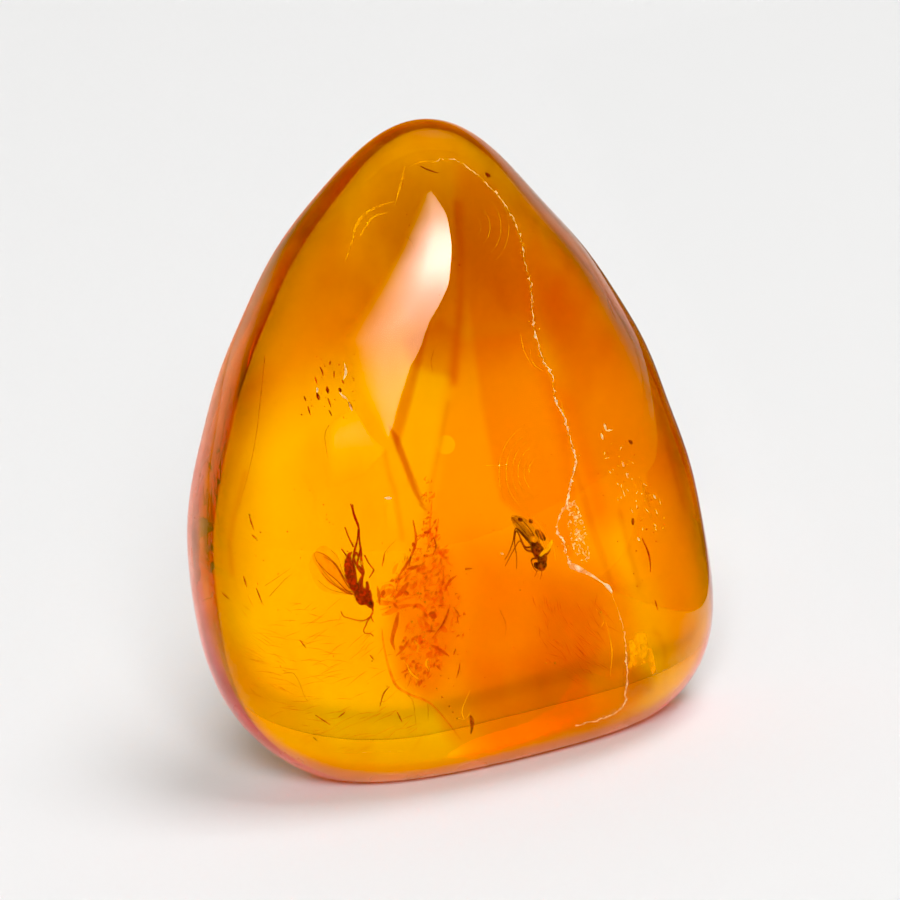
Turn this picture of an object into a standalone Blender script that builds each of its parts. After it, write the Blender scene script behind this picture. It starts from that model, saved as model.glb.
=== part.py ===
"""Insect in amber: a polished pebble of clear amber with a gnat and a small fly sealed inside.

The pebble is a rim outline with a deep dome in front and a shallow one behind, standing on a small
polished flat.
It is parted in two along the plane of the insects, and each half holds half of each insect's pocket.
Units are metres, +Z is up, the front dome faces -Y and the flat lies on Z = 0.
"""
import math

import bmesh
import bpy
import numpy as np
from mathutils import Matrix, Vector

MM = 0.001

# ---- the pebble ----
MIDDLE_HEIGHT = 17.5 * MM          # height of the point that the rim is measured from
RIM_RADII = MM * np.array([        # middle to rim, every 15 degrees, from the right side up over the top
    13.0, 12.7, 12.8, 13.5, 14.8, 17.2, 17.6, 15.7, 14.3, 13.3, 13.0, 13.2,
    14.1, 15.4, 17.2, 19.1, 19.9, 19.7, 19.2, 19.5, 20.3, 19.2, 16.2, 14.2])
FRONT_DEPTH = 9.0 * MM             # how far the front dome stands out from the rim's plane
BACK_DEPTH = 2.5 * MM              # the back is much flatter
DOME_POWER = 2.4                   # 2 is an ellipse, more is flatter in the middle
TAPER = -0.3                       # share by which the domes thin out towards the top
LEAN = (2.0 * MM, 1.4 * MM)        # how the middle of the thickness moves back with height
TWIST = math.radians(4.0)          # how far the foot is turned against the face
HALF_HEIGHT = 19.0 * MM            # height unit of the taper, the lean and the twist
STAND_BACK = 2.0 * MM              # brings the middle of the flat foot over the origin
FOOT_ROUNDING = 0.6 * MM           # how softly the sides run into the flat foot
SIDES, RINGS = 64, 36              # faces around and across the pebble

# ---- the parting between the halves, and the pockets in it ----
PARTING_AT_FOOT = -0.9 * MM        # where the parting plane meets the ground
PARTING_TILT = math.radians(4.9)   # how far that plane leans back
PARTING_GAP = 0.3 * MM
GNAT_CENTRE = (-5.72 * MM, 12.17 * MM)      # across, and up the parting plane
GNAT_POCKET = (2.05 * MM, 1.25 * MM, 4.2 * MM)
FLY_CENTRE = (3.33 * MM, 12.19 * MM)
FLY_POCKET = (1.85 * MM, 1.2 * MM, 2.25 * MM)
INSECT_SIZE = 0.94                 # size of both insects against their drawings below

AMBER = (0.90, 0.38, 0.02, 1.0)
GNAT_BROWN = (0.20, 0.03, 0.01, 1.0)
FLY_BROWN = (0.12, 0.06, 0.01, 1.0)


def new_collection(name):
    collection = bpy.data.collections.new(name)
    bpy.context.scene.collection.children.link(collection)
    return collection


def adopt(obj, name, collection):
    """Name an object and move it into one collection."""
    obj.name = name
    obj.data.name = name
    for other in list(obj.users_collection):
        other.objects.unlink(obj)
    collection.objects.link(obj)
    return obj


def material(name, colour, roughness):
    mat = bpy.data.materials.new(name)
    mat.use_nodes = True
    shader = mat.node_tree.nodes["Principled BSDF"]
    shader.inputs["Base Color"].default_value = colour
    shader.inputs["Roughness"].default_value = roughness
    shader.inputs["Metallic"].default_value = 0.0
    mat.diffuse_color = colour
    return mat


# ---- pebble ----
def rim_radius(angle):
    """Smooth closed outline through the rim radii, as the sum of its waves."""
    count = len(RIM_RADII)
    waves = np.fft.rfft(RIM_RADII) / count
    order = np.arange(len(waves))
    share = np.where((order == 0) | (2 * order == count), 1.0, 2.0)
    return (share * waves * np.exp(1j * np.multiply.outer(angle, order))).real.sum(-1)


def press_flat(height):
    """Heights below the ground become 0, and those just above run into it softly."""
    soft = (height + FOOT_ROUNDING) ** 2 / (4 * FOOT_ROUNDING)
    return np.where(height < -FOOT_ROUNDING, 0.0, np.where(height < FOOT_ROUNDING, soft, height))


def pebble_points(directions):
    """Move points of a unit sphere, whose pole looks out of the front dome, onto the pebble."""
    across, up, front = directions.T
    spread = np.hypot(across, up)
    angle = np.arctan2(up, across)
    radius = RIM_RADII.mean() * (1 - spread ** 2) + rim_radius(angle) * spread ** 2
    x = spread * radius * np.cos(angle)
    rise = spread * radius * np.sin(angle)
    level = rise / HALF_HEIGHT
    dome = np.sqrt(np.clip(1 - spread ** DOME_POWER, 0, None)) * (1 + TAPER * level)
    middle = LEAN[0] * level + LEAN[1] * level ** 2
    turn = math.tan(TWIST) * x * ((1 - np.clip(level, -1, 1)) / 2) ** 2
    depth = np.where(front > 0, -FRONT_DEPTH, BACK_DEPTH)
    y = STAND_BACK + middle + turn + depth * dome
    return np.stack([x, y, press_flat(rise + MIDDLE_HEIGHT)], axis=-1)


def make_pebble(name, collection):
    bpy.ops.mesh.primitive_uv_sphere_add(segments=SIDES, ring_count=RINGS, radius=1.0)
    obj = adopt(bpy.context.object, name, collection)
    mesh = obj.data
    sphere = np.empty(len(mesh.vertices) * 3)
    mesh.vertices.foreach_get("co", sphere)
    mesh.vertices.foreach_set("co", pebble_points(sphere.reshape(-1, 3)).ravel())
    shell = bmesh.new()
    shell.from_mesh(mesh)
    foot = [face for face in shell.faces if max(v.co.z for v in face.verts) < 1e-9]
    bmesh.ops.dissolve_faces(shell, faces=foot, use_verts=True)
    shell.to_mesh(mesh)
    shell.free()
    return obj


# ---- the parting plane ----
def parting_frame():
    """Frame whose x runs across, z up the parting plane and y out of its back."""
    return Matrix.Translation((0, PARTING_AT_FOOT, 0)) @ Matrix.Rotation(-PARTING_TILT, 4, "X")


def parting_cutter(name, side, collection):
    """A block that takes away everything on one side (-1 front, +1 back) of the parting."""
    size = 100 * MM
    bpy.ops.mesh.primitive_cube_add(size=size)
    obj = adopt(bpy.context.object, name, collection)
    shift = Matrix.Translation((0, side * (size - PARTING_GAP) / 2, 0))
    obj.matrix_world = parting_frame() @ shift
    return obj


def pocket_cutter(name, centre, half_sizes, collection):
    bpy.ops.mesh.primitive_uv_sphere_add(segments=20, ring_count=12, radius=1.0)
    obj = adopt(bpy.context.object, name, collection)
    place = Matrix.Translation((centre[0], 0, centre[1]))
    obj.matrix_world = parting_frame() @ place @ Matrix.Diagonal((*half_sizes, 1.0))
    return obj


def cut(obj, cutter):
    modifier = obj.modifiers.new(cutter.name, "BOOLEAN")
    modifier.operation = "DIFFERENCE"
    modifier.solver = "EXACT"
    modifier.object = cutter


# ---- parts of an insect, in its own frame: x across, z up the plane, y deeper, in millimetres ----
def blob(name, centre, radii, lean, collection):
    """An egg-shaped lump; lean turns its long axis in the plane."""
    bpy.ops.mesh.primitive_uv_sphere_add(segments=14, ring_count=9, radius=1.0)
    obj = adopt(bpy.context.object, name, collection)
    place = Matrix.Translation(Vector(centre) * MM) @ Matrix.Rotation(lean, 4, "Y")
    obj.data.transform(place @ Matrix.Diagonal((*[r * MM for r in radii], 1.0)))
    return obj


def mesh_from_curve(curve_obj, name, collection):
    """Turn a curve into a closed mesh with welded caps."""
    bpy.context.view_layer.update()
    evaluated = curve_obj.evaluated_get(bpy.context.evaluated_depsgraph_get())
    mesh = bpy.data.meshes.new_from_object(evaluated)
    mesh.transform(curve_obj.matrix_world)
    shell = bmesh.new()
    shell.from_mesh(mesh)
    bmesh.ops.remove_doubles(shell, verts=shell.verts, dist=1e-7)
    bmesh.ops.recalc_face_normals(shell, faces=shell.faces)
    shell.to_mesh(mesh)
    shell.free()
    bpy.data.objects.remove(curve_obj)
    obj = bpy.data.objects.new(name, mesh)
    collection.objects.link(obj)
    return obj


def tube(name, points, radii, collection, roundness=1):
    """A round limb through its joints, with a radius at each."""
    curve = bpy.data.curves.new(name + "_path", "CURVE")
    curve.dimensions = "3D"
    curve.bevel_depth = MM
    curve.bevel_resolution = roundness
    curve.use_fill_caps = True
    spline = curve.splines.new("POLY")
    spline.points.add(len(points) - 1)
    for point, place, radius in zip(spline.points, points, radii):
        point.co = (*[c * MM for c in place], 1.0)
        point.radius = radius
    obj = bpy.data.objects.new(name + "_path", curve)
    collection.objects.link(obj)
    return mesh_from_curve(obj, name, collection)


def wing(name, outline, depth, thickness, collection):
    """A thin plate with a smooth outline in the insect's plane."""
    curve = bpy.data.curves.new(name + "_outline", "CURVE")
    curve.dimensions = "2D"
    curve.fill_mode = "BOTH"
    curve.extrude = thickness * MM / 2
    curve.resolution_u = 3
    spline = curve.splines.new("BEZIER")
    spline.use_cyclic_u = True
    spline.bezier_points.add(len(outline) - 1)
    for point, (x, z) in zip(spline.bezier_points, outline):
        point.co = (x * MM, z * MM, 0)
        point.handle_left_type = "AUTO"
        point.handle_right_type = "AUTO"
    obj = bpy.data.objects.new(name + "_outline", curve)
    collection.objects.link(obj)
    obj.matrix_world = Matrix.Translation((0, depth * MM, 0)) @ Matrix.Rotation(math.pi / 2, 4, "X")
    return mesh_from_curve(obj, name, collection)


def leg(name, joints, collection):
    """A leg: a stout thigh, a thinner shin and a thin foot."""
    radii = np.interp(np.linspace(0, 1, len(joints)), (0, 0.4, 1), (0.085, 0.06, 0.045))
    return tube(name, joints, radii, collection)


def fuse(name, body, limbs, centre, collection):
    """Join the limbs onto the body in one solid and set it into the parting plane."""
    frame = parting_frame() @ Matrix.Translation((centre[0], 0, centre[1])) @ Matrix.Scale(INSECT_SIZE, 4)
    for obj in (body, *limbs.objects):
        obj.data.transform(frame)
    adopt(body, name, collection)
    modifier = body.modifiers.new("limbs", "BOOLEAN")
    modifier.operation = "UNION"
    modifier.solver = "EXACT"
    modifier.operand_type = "COLLECTION"
    modifier.collection = limbs
    return body


def make_gnat(collection, limbs):
    """A gnat, head down, wings spread to the left and long legs thrown up past its tail."""
    body = blob("thorax", (0.30, 0, -1.10), (0.36, 0.36, 0.46), math.radians(-20), collection)
    blob("head", (0.62, -0.03, -1.62), (0.22, 0.24, 0.20), 0, limbs)
    tube("abdomen",
         [(0.26, 0, -0.80), (0.18, 0, -0.40), (0.12, 0, 0.0), (0.07, 0, 0.40), (0.03, 0, 0.75),
          (0.0, 0, 1.08)], [0.24, 0.25, 0.25, 0.23, 0.18, 0.09], limbs, roundness=2)
    wing("wing_near", [(0.20, -0.95), (-0.35, -0.15), (-1.10, 1.20), (-1.60, 1.48), (-1.80, 1.20),
                       (-1.40, 0.20), (-0.80, -0.62), (-0.20, -1.12)], -0.22, 0.07, limbs)
    wing("wing_far", [(0.20, -0.90), (-0.20, 0.10), (-0.50, 1.25), (-0.90, 1.70), (-1.25, 1.60),
                      (-1.05, 0.70), (-0.55, -0.40), (-0.05, -1.05)], 0.22, 0.07, limbs)
    leg("leg_1", [(0.25, -0.2, -1.0), (0.70, -0.50, -0.13), (0.78, -0.45, 0.95), (0.60, -0.40, 1.50),
                  (0.52, -0.30, 3.70)], limbs)
    leg("leg_2", [(0.25, 0.2, -0.9), (0.20, 0.50, 0.99), (0.38, 0.50, 1.55), (0.66, 0.35, 2.49),
                  (0.78, 0.25, 3.60)], limbs)
    leg("leg_3", [(0.20, 0.2, -0.7), (-0.12, 0.55, 0.30), (0.25, 0.62, 1.47), (-0.02, 0.40, 2.60)], limbs)
    leg("leg_4", [(0.40, -0.2, -1.0), (1.14, -0.45, 0.01), (0.98, -0.60, 1.00)], limbs)
    leg("leg_5", [(0.45, 0.2, -1.2), (1.20, 0.45, -0.70), (1.45, 0.50, 0.10)], limbs)
    leg("leg_6", [(0.40, 0, -1.4), (0.38, -0.2, -2.62), (0.16, -0.3, -3.07), (0.60, -0.3, -3.50)], limbs)
    tube("feeler", [(0.66, -0.1, -1.65), (0.80, -0.2, -2.05), (0.42, -0.3, -2.38), (-0.35, -0.3, -2.32),
                    (-0.88, -0.3, -1.85)], [0.055, 0.05, 0.045, 0.04, 0.035], limbs)
    return fuse("gnat", body, limbs, GNAT_CENTRE, collection)


def make_fly(collection, limbs):
    """A small stout fly, head down, its wings folded along its back."""
    body = blob("thorax", (0.32, 0, -0.42), (0.40, 0.38, 0.50), math.radians(-25), collection)
    blob("head", (0.47, -0.03, -1.15), (0.29, 0.30, 0.25), 0, limbs)
    tube("neck_and_abdomen",
         [(0.47, 0, -1.10), (0.38, 0, -0.70), (0.25, 0, -0.25), (0.08, 0, 0.18), (-0.18, 0, 0.62),
          (-0.42, 0, 1.02), (-0.62, 0, 1.36)],
         [0.13, 0.20, 0.30, 0.34, 0.32, 0.24, 0.11], limbs, roundness=2)
    wing("wing_left", [(0.30, -0.25), (-0.10, -0.02), (-0.55, 0.55), (-0.78, 1.42), (-0.55, 1.55),
                       (-0.10, 1.05), (0.25, 0.40)], -0.30, 0.07, limbs)
    wing("wing_right", [(0.35, -0.30), (0.62, 0.10), (0.50, 0.75), (0.05, 1.30), (-0.45, 1.62),
                        (-0.50, 1.35), (-0.05, 0.70), (0.25, 0.15)], 0.26, 0.07, limbs)
    for number, joints in enumerate((
            [(0.10, -0.1, 0.10), (-0.83, -0.45, 0.20), (-1.26, -0.50, -0.49)],
            [(0.15, 0.0, -0.20), (-0.72, -0.10, -0.21), (-0.90, -0.25, -1.20)],
            [(0.25, 0.1, -0.50), (-0.40, 0.35, -0.63), (-0.60, 0.45, -1.30)],
            [(0.40, -0.1, -0.55), (1.10, -0.45, -0.66), (1.25, -0.50, -1.10)],
            [(0.40, 0.0, -0.20), (0.98, -0.10, 0.43), (1.40, -0.10, 0.35)],
            [(0.30, 0.1, 0.20), (0.90, 0.40, 0.85), (1.05, 0.50, 1.20)]), 1):
        leg(f"fly_leg_{number}", joints, limbs)
    tube("fly_feeler", [(0.50, -0.1, -1.20), (0.55, -0.2, -1.50), (0.72, -0.2, -1.75)],
         [0.06, 0.05, 0.04], limbs)
    return fuse("small_fly", body, limbs, FLY_CENTRE, collection)


def build():
    for obj in list(bpy.data.objects):
        bpy.data.objects.remove(obj)
    parts = new_collection("insect_in_amber")
    cutters = new_collection("cutters")
    gnat_limbs = new_collection("gnat_limbs")
    fly_limbs = new_collection("fly_limbs")

    pockets = [pocket_cutter("gnat_pocket", GNAT_CENTRE, GNAT_POCKET, cutters),
               pocket_cutter("fly_pocket", FLY_CENTRE, FLY_POCKET, cutters)]
    for name, taken in (("amber_front", 1), ("amber_back", -1)):
        half = make_pebble(name, parts)
        cut(half, parting_cutter(name + "_parting", taken, cutters))
        for pocket in pockets:
            cut(half, pocket)
        half.data.materials.append(material(name, AMBER, 0.05))

    make_gnat(parts, gnat_limbs).data.materials.append(material("gnat", GNAT_BROWN, 0.4))
    make_fly(parts, fly_limbs).data.materials.append(material("small_fly", FLY_BROWN, 0.4))

    for collection in (cutters, gnat_limbs, fly_limbs):
        for tool in collection.objects:
            tool.hide_render = True
            tool.display_type = "WIRE"


build()
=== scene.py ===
# %% [markdown]
# # Insect in amber
# A polished drop of clear amber stands on a small flat. A long-legged gnat and a small stout fly are sealed
# in it, with flow seams, a long healed crack and scraps of bark. This lesson dresses the plain solids of the
# model: every new piece is a surface worked out with numpy, and every finish is a small net of shader nodes.
# The frame comes first, because all pieces are placed in it.
# %% Load the frame
import math

import bpy
import numpy as np
from mathutils import Matrix, Vector
from mathutils.bvhtree import BVHTree


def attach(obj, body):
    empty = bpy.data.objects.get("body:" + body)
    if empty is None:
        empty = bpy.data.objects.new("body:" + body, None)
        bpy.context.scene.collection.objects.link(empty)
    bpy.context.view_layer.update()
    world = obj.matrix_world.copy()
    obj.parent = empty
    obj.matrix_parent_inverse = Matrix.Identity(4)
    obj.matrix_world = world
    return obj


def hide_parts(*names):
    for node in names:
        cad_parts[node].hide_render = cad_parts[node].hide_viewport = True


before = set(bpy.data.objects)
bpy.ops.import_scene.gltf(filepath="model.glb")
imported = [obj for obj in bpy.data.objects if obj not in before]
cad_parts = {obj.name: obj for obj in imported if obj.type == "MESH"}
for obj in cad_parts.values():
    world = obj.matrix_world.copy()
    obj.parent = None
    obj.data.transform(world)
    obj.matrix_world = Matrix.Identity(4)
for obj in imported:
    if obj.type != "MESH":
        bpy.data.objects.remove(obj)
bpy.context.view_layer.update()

MM = 0.001
print("nodes:", sorted(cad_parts))

# %% [markdown]
# ## The camera
# The stone is seen from a little above, with a long lens that keeps its outline free of perspective. The
# picture is 900 points wide, and one point covers 0.0555 mm at the stone. `camera_ray` gives the line of
# sight through a picture point, which later places what lies inside the stone.
# %% Camera
PICTURE = 900
POINT_SIZE = 0.0555 * MM
CAMERA_DISTANCE = 400 * MM
CAMERA_TURN, CAMERA_LIFT, CAMERA_ROLL = math.radians(-6), math.radians(20), math.radians(8)
CAMERA_AIM = Vector((0.5, 2.0, 17.03)) * MM
SENSOR = 36


def camera_axes(turn, lift, roll):
    """Right, up and back of a camera: spherical angles about the stone, then a roll about the view."""
    back = Vector((math.sin(turn) * math.cos(lift), -math.cos(turn) * math.cos(lift), math.sin(lift)))
    right = Vector((math.cos(turn), math.sin(turn), 0))
    up = back.cross(right)
    return (right * math.cos(roll) - up * math.sin(roll), right * math.sin(roll) + up * math.cos(roll), back)


RIGHT, UP, BACK = camera_axes(CAMERA_TURN, CAMERA_LIFT, CAMERA_ROLL)
EYE = CAMERA_AIM + BACK * CAMERA_DISTANCE
lens = bpy.data.cameras.new("camera")
lens.sensor_width = SENSOR
lens.lens = SENSOR * CAMERA_DISTANCE / (PICTURE * POINT_SIZE)
camera = bpy.data.objects.new("camera", lens)
camera.matrix_world = Matrix.Translation(EYE) @ Matrix((RIGHT, UP, BACK)).transposed().to_4x4()
bpy.context.scene.collection.objects.link(camera)
bpy.context.scene.camera = camera
print("lens", round(lens.lens, 1), "mm")


def camera_ray(point):
    """Direction from the eye through a picture point counted from the top left corner."""
    across, down = point[0] - PICTURE / 2, point[1] - PICTURE / 2
    aim = RIGHT * across - UP * down - BACK * (CAMERA_DISTANCE / POINT_SIZE)
    return aim.normalized()

# %% [markdown]
# ## Meshes from arrays
# A surface is a grid of points, one array of shape rows by columns by three. Its faces follow from the
# grid's shape alone, so one helper serves the stone, every limb and every flake. A grid may close on itself
# around its columns, and its first and last rows may shrink to a point, which closes the ends.
# %% Grid helpers
SCENE = bpy.context.scene.collection


def grid_mesh(points, round_columns=True, closed_ends=True, start=0):
    """Vertices and quads of a grid; closed ends add one middle point to the first and to the last row."""
    rows, columns, _ = points.shape
    row, column = np.meshgrid(np.arange(rows - 1), np.arange(columns - (not round_columns)), indexing="ij")
    here = row * columns + column
    beside = row * columns + (column + 1) % columns
    faces = np.stack([here, beside, beside + columns, here + columns], -1).reshape(-1, 4).tolist()
    vertices = points.reshape(-1, 3)
    if closed_ends:
        first, last = rows * columns, rows * columns + 1
        vertices = np.concatenate([vertices, points[0].mean(0)[None], points[-1].mean(0)[None]])
        around = np.arange(columns)
        after = (around + 1) % columns
        base = (rows - 1) * columns
        faces += np.stack([after, around, np.full(columns, first)], -1).tolist()
        faces += np.stack([base + around, base + after, np.full(columns, last)], -1).tolist()
    return vertices, [[index + start for index in face] for face in faces]


def mesh_object(name, vertices, faces, finish):
    """An object in the scene with one mesh and one material."""
    mesh = bpy.data.meshes.new(name)
    mesh.from_pydata(np.asarray(vertices, float).tolist(), [], faces)
    mesh.materials.append(finish)
    made = bpy.data.objects.new(name, mesh)
    SCENE.objects.link(made)
    return made


def piece(name, grids, finish, replaces=()):
    """One smooth piece of the part out of many grids; each is (points, round_columns, closed_ends)."""
    vertices, faces = [], []
    for points, around, ends in grids:
        more, new_faces = grid_mesh(points, around, ends, sum(len(v) for v in vertices))
        vertices.append(more)
        faces += new_faces
    made = mesh_object(name, np.concatenate(vertices), faces, finish)
    made.data.shade_smooth()
    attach(made, "root")
    if replaces:
        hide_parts(*replaces)
    print(name, len(made.data.vertices), "points", len(faces), "faces")
    return made


def paint_points(made, name, colours):
    """Store a colour on every point of an object, for an Attribute node of the same name."""
    opaque = np.concatenate([colours, np.ones((*colours.shape[:-1], 1))], -1)
    made.data.attributes.new(name, "FLOAT_COLOR", "POINT").data.foreach_set("color", opaque.ravel())

# %% [markdown]
# ## Shader nets written as sums
# A pattern such as clouding is arithmetic on noise. `Wire` wraps one socket so that `1 - mask * 0.5` adds
# the Math nodes itself. `Net` makes any other node by its type, for a material or for the sky, and `Finish`
# is the net of one material.
# %% Shader helpers
class Wire:
    """One shader socket; arithmetic on it adds Math nodes."""

    def __init__(self, net, socket):
        self.net, self.socket = net, socket

    def maths(self, operation, *values):
        return self.net.node("ShaderNodeMath", {"operation": operation}, dict(enumerate(values)))

    def __add__(self, other): return self.maths("ADD", self, other)
    def __sub__(self, other): return self.maths("SUBTRACT", self, other)
    def __rsub__(self, other): return self.maths("SUBTRACT", other, self)
    def __mul__(self, other): return self.maths("MULTIPLY", self, other)
    __radd__, __rmul__ = __add__, __mul__

    def rise(self, low, high, start=0.0, end=1.0):
        """A soft step from start at low to end at high."""
        return self.net.node("ShaderNodeMapRange", {"interpolation_type": "SMOOTHSTEP"},
                             {"Value": self, "From Min": low, "From Max": high,
                              "To Min": start, "To Max": end})

    def output(self, name):
        """Another output of the node that this wire comes from."""
        return Wire(self.net, self.socket.node.outputs[name])


class Net:
    """A node tree."""

    def __init__(self, tree):
        self.tree = tree

    def node(self, kind, settings=None, sockets=None):
        """A node by its type: its settings are put in first, then its sockets."""
        made = self.tree.nodes.new(kind)
        for name, value in (settings or {}).items():
            setattr(made, name, value)
        for name, value in (sockets or {}).items():
            self.set(made.inputs[name], value)
        return Wire(self, made.outputs[0])

    def set(self, socket, value):
        """Link a wire to a socket, or put a plain value on it."""
        if isinstance(value, Wire):
            self.tree.links.new(value.socket, socket)
        else:
            socket.default_value = value


class Finish(Net):
    """A material with one Principled shader, whose plain values are given by socket name."""

    def __init__(self, name, plain):
        self.material = bpy.data.materials.new(name)
        self.material.use_nodes = True
        self.material.cycles.emission_sampling = "NONE"
        super().__init__(self.material.node_tree)
        self.skin = self.tree.nodes["Principled BSDF"]
        for socket, value in plain.items():
            self.skin.inputs[socket].default_value = value

    def attribute(self, name, output="Color"):
        """What a mesh stores on its points under this name."""
        return self.node("ShaderNodeAttribute", {"attribute_name": name}).output(output)

    def noise(self, scale, detail=3.0, stretch=(1, 1, 1)):
        """Cloudy noise from 0 to 1, in patches per metre; stretch draws them out along an axis."""
        place = self.node("ShaderNodeTexCoord").output("Object")
        where = self.node("ShaderNodeVectorMath", {"operation": "MULTIPLY"}, {0: place, 1: stretch})
        return self.node("ShaderNodeTexNoise", {}, {"Vector": where, "Scale": scale, "Detail": detail})

    def blend(self, mask, low, high):
        """A colour between low and high by a mask."""
        return self.node("ShaderNodeMix", {"data_type": "RGBA"}, {0: mask, 6: low, 7: high}).output("Result")

    def bump(self, height, depth):
        """Tilted normals for a height pattern whose full range is depth in metres."""
        return self.node("ShaderNodeBump", {}, {"Height": height, "Distance": depth, "Strength": 1.0})

    def feed(self, **links):
        """Set the shader's sockets by name, with _ for a space, and give the material back."""
        for name, value in links.items():
            self.set(self.skin.inputs[name.replace("_", " ")], value)
        return self.material

# %% [markdown]
# ## The stone
# Amber is tumbled and polished by hand, so its outline is one smooth closed curve and its two faces are low
# domes, deep in front and shallow behind. The outline is a sum of waves through 24 rim radii. A dome follows
# a power law that is flatter in the middle than a ball, and the whole leans and thins towards the top. The
# same formula made the plain solid; here the grid is finer, because clear amber shows every facet twice.
# %% Stone shape
MIDDLE_HEIGHT = 17.5 * MM
RIM_RADII = MM * np.array([
    13.0, 12.7, 12.8, 13.5, 14.8, 17.2, 17.6, 15.7, 14.3, 13.3, 13.0, 13.2,
    14.1, 15.4, 17.2, 19.1, 19.9, 19.7, 19.2, 19.5, 20.3, 19.2, 16.2, 14.2])
FRONT_DEPTH, BACK_DEPTH = 9.0 * MM, 2.5 * MM
DOME_POWER, TAPER = 2.4, -0.3
LEAN = (2.0 * MM, 1.4 * MM)
TWIST = math.radians(4.0)
HALF_HEIGHT = 19.0 * MM
STAND_BACK = 2.0 * MM
FOOT_ROUNDING = 0.6 * MM
STONE_ROWS, STONE_COLUMNS = 260, 360


def rim_radius(angle):
    """Smooth closed outline through the rim radii, as the sum of its waves."""
    count = len(RIM_RADII)
    waves = np.fft.rfft(RIM_RADII) / count
    order = np.arange(len(waves))
    share = np.where((order == 0) | (2 * order == count), 1.0, 2.0)
    return (share * waves * np.exp(1j * np.multiply.outer(angle, order))).real.sum(-1)


def press_flat(height):
    """Heights below the ground become 0, and those just above run into it softly."""
    soft = (height + FOOT_ROUNDING) ** 2 / (4 * FOOT_ROUNDING)
    return np.where(height < -FOOT_ROUNDING, 0.0, np.where(height < FOOT_ROUNDING, soft, height))


def stone_points(spread, angle, side):
    """Points of the stone by spread (0 middle, 1 rim), angle about the middle and side (+1 front, -1 back).

    x = spread r cos(angle) and z = middle height + spread r sin(angle), where r runs from the mean radius to
    the rim radius with spread ** 2. The height over the middle, in half heights, is the level, and
    y = +-depth * sqrt(1 - spread ** DOME_POWER) * (1 + TAPER * level) + lean and twist.
    """
    radius = RIM_RADII.mean() * (1 - spread ** 2) + rim_radius(angle) * spread ** 2
    x = spread * radius * np.cos(angle)
    rise = spread * radius * np.sin(angle)
    level = rise / HALF_HEIGHT
    dome = np.sqrt(np.clip(1 - spread ** DOME_POWER, 0, None)) * (1 + TAPER * level)
    middle = LEAN[0] * level + LEAN[1] * level ** 2
    turn = math.tan(TWIST) * x * ((1 - np.clip(level, -1, 1)) / 2) ** 2
    depth = np.where(side > 0, -FRONT_DEPTH, BACK_DEPTH)
    return np.stack([x, STAND_BACK + middle + turn + depth * dome, press_flat(rise + MIDDLE_HEIGHT)], -1)


polar, angle = np.meshgrid(np.linspace(0, math.pi, STONE_ROWS + 2)[1:-1],
                           np.linspace(0, 2 * math.pi, STONE_COLUMNS, endpoint=False), indexing="ij")
STONE = stone_points(np.sin(polar), -angle, np.where(polar < math.pi / 2, 1, -1))

# %% [markdown]
# ## Amber
# Clear amber bends light as glass does and soaks up blue at once, green slowly and red hardly at all, so a
# thin edge is yellow and a long path is red. That is a Volume Absorption with one colour and density, and
# no painted colour. The polish is fine but handmade: faint waves and hairline marks go into the bump.
# %% Amber finish
AMBER_ABSORB = (0.9991, 0.911, 0.0, 1)
AMBER_DENSITY = 900
AMBER_IOR = 1.54
AMBER_GLOSS = (1.0, 0.75, 0.65, 1)


def amber_finish():
    finish = Finish("amber", {"Base Color": (1, 1, 1, 1), "Transmission Weight": 1.0, "IOR": AMBER_IOR,
                              "Roughness": 0.0, "Specular Tint": AMBER_GLOSS})
    depth = finish.node("ShaderNodeVolumeAbsorption", {}, {"Color": AMBER_ABSORB, "Density": AMBER_DENSITY})
    finish.set(finish.tree.nodes["Material Output"].inputs["Volume"], depth)
    smears = finish.noise(260, 2.0).rise(0.35, 0.75)
    return finish.feed(Roughness=smears * 0.03 + 0.005,
                       Normal=finish.bump(finish.noise(350, 1.0), 0.012 * MM))


amber = piece("amber", [(STONE, True, True)], amber_finish(), ("amber_front", "amber_back"))

# %% [markdown]
# ## Looking into the stone
# A line of sight bends where it enters amber, so what lies inside is not straight behind its picture point.
# `look_in` follows lines of sight through the front by Snell's law. A point inside is then given by a
# picture point and a depth along the bent line, or by where that line meets the plane of the insects.
# %% Lines of sight
amber.data.calc_loop_triangles()
STONE_TREE = BVHTree.FromPolygons([v.co for v in amber.data.vertices],
                                  [t.vertices for t in amber.data.loop_triangles])
PARTING_AT_FOOT, PARTING_TILT = -0.9 * MM, math.radians(4.9)
SKIN = 0.02 * MM
PLANE_NORMAL = np.array((0, math.cos(PARTING_TILT), -math.sin(PARTING_TILT)))
PLANE_OFFSET = PLANE_NORMAL[1] * PARTING_AT_FOOT
ACROSS, UPWARDS, TOWARDS = np.array(RIGHT), np.array(UP), np.array(BACK)
BACK_MARGIN = 0.9                               # nothing lies deeper than this share of the way to the back


def look_in(points):
    """Entry points on the front and directions inside it, for picture points (across, down)."""
    entries, directions = [], []
    for point in np.atleast_2d(points):
        ray = camera_ray(point)
        entry, normal, _, _ = STONE_TREE.ray_cast(EYE, ray)
        slant = -normal.dot(ray)
        depth = math.sqrt(1 - (1 - slant ** 2) / AMBER_IOR ** 2)
        entries.append(entry)
        directions.append(ray / AMBER_IOR + normal * (slant / AMBER_IOR - depth))
    return np.array(entries), np.array(directions)


def under(points, depth):
    """Points at a depth in millimetres below the front on bent lines of sight, and short of the back."""
    entries, directions = look_in(points)
    room = [STONE_TREE.ray_cast(Vector(entry + direction * SKIN), direction)[3] or 0.0
            for entry, direction in zip(entries, directions)]
    reach = np.minimum(np.broadcast_to(depth, len(entries)) * MM, np.array(room) * BACK_MARGIN)
    return entries + directions * reach[:, None]


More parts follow.
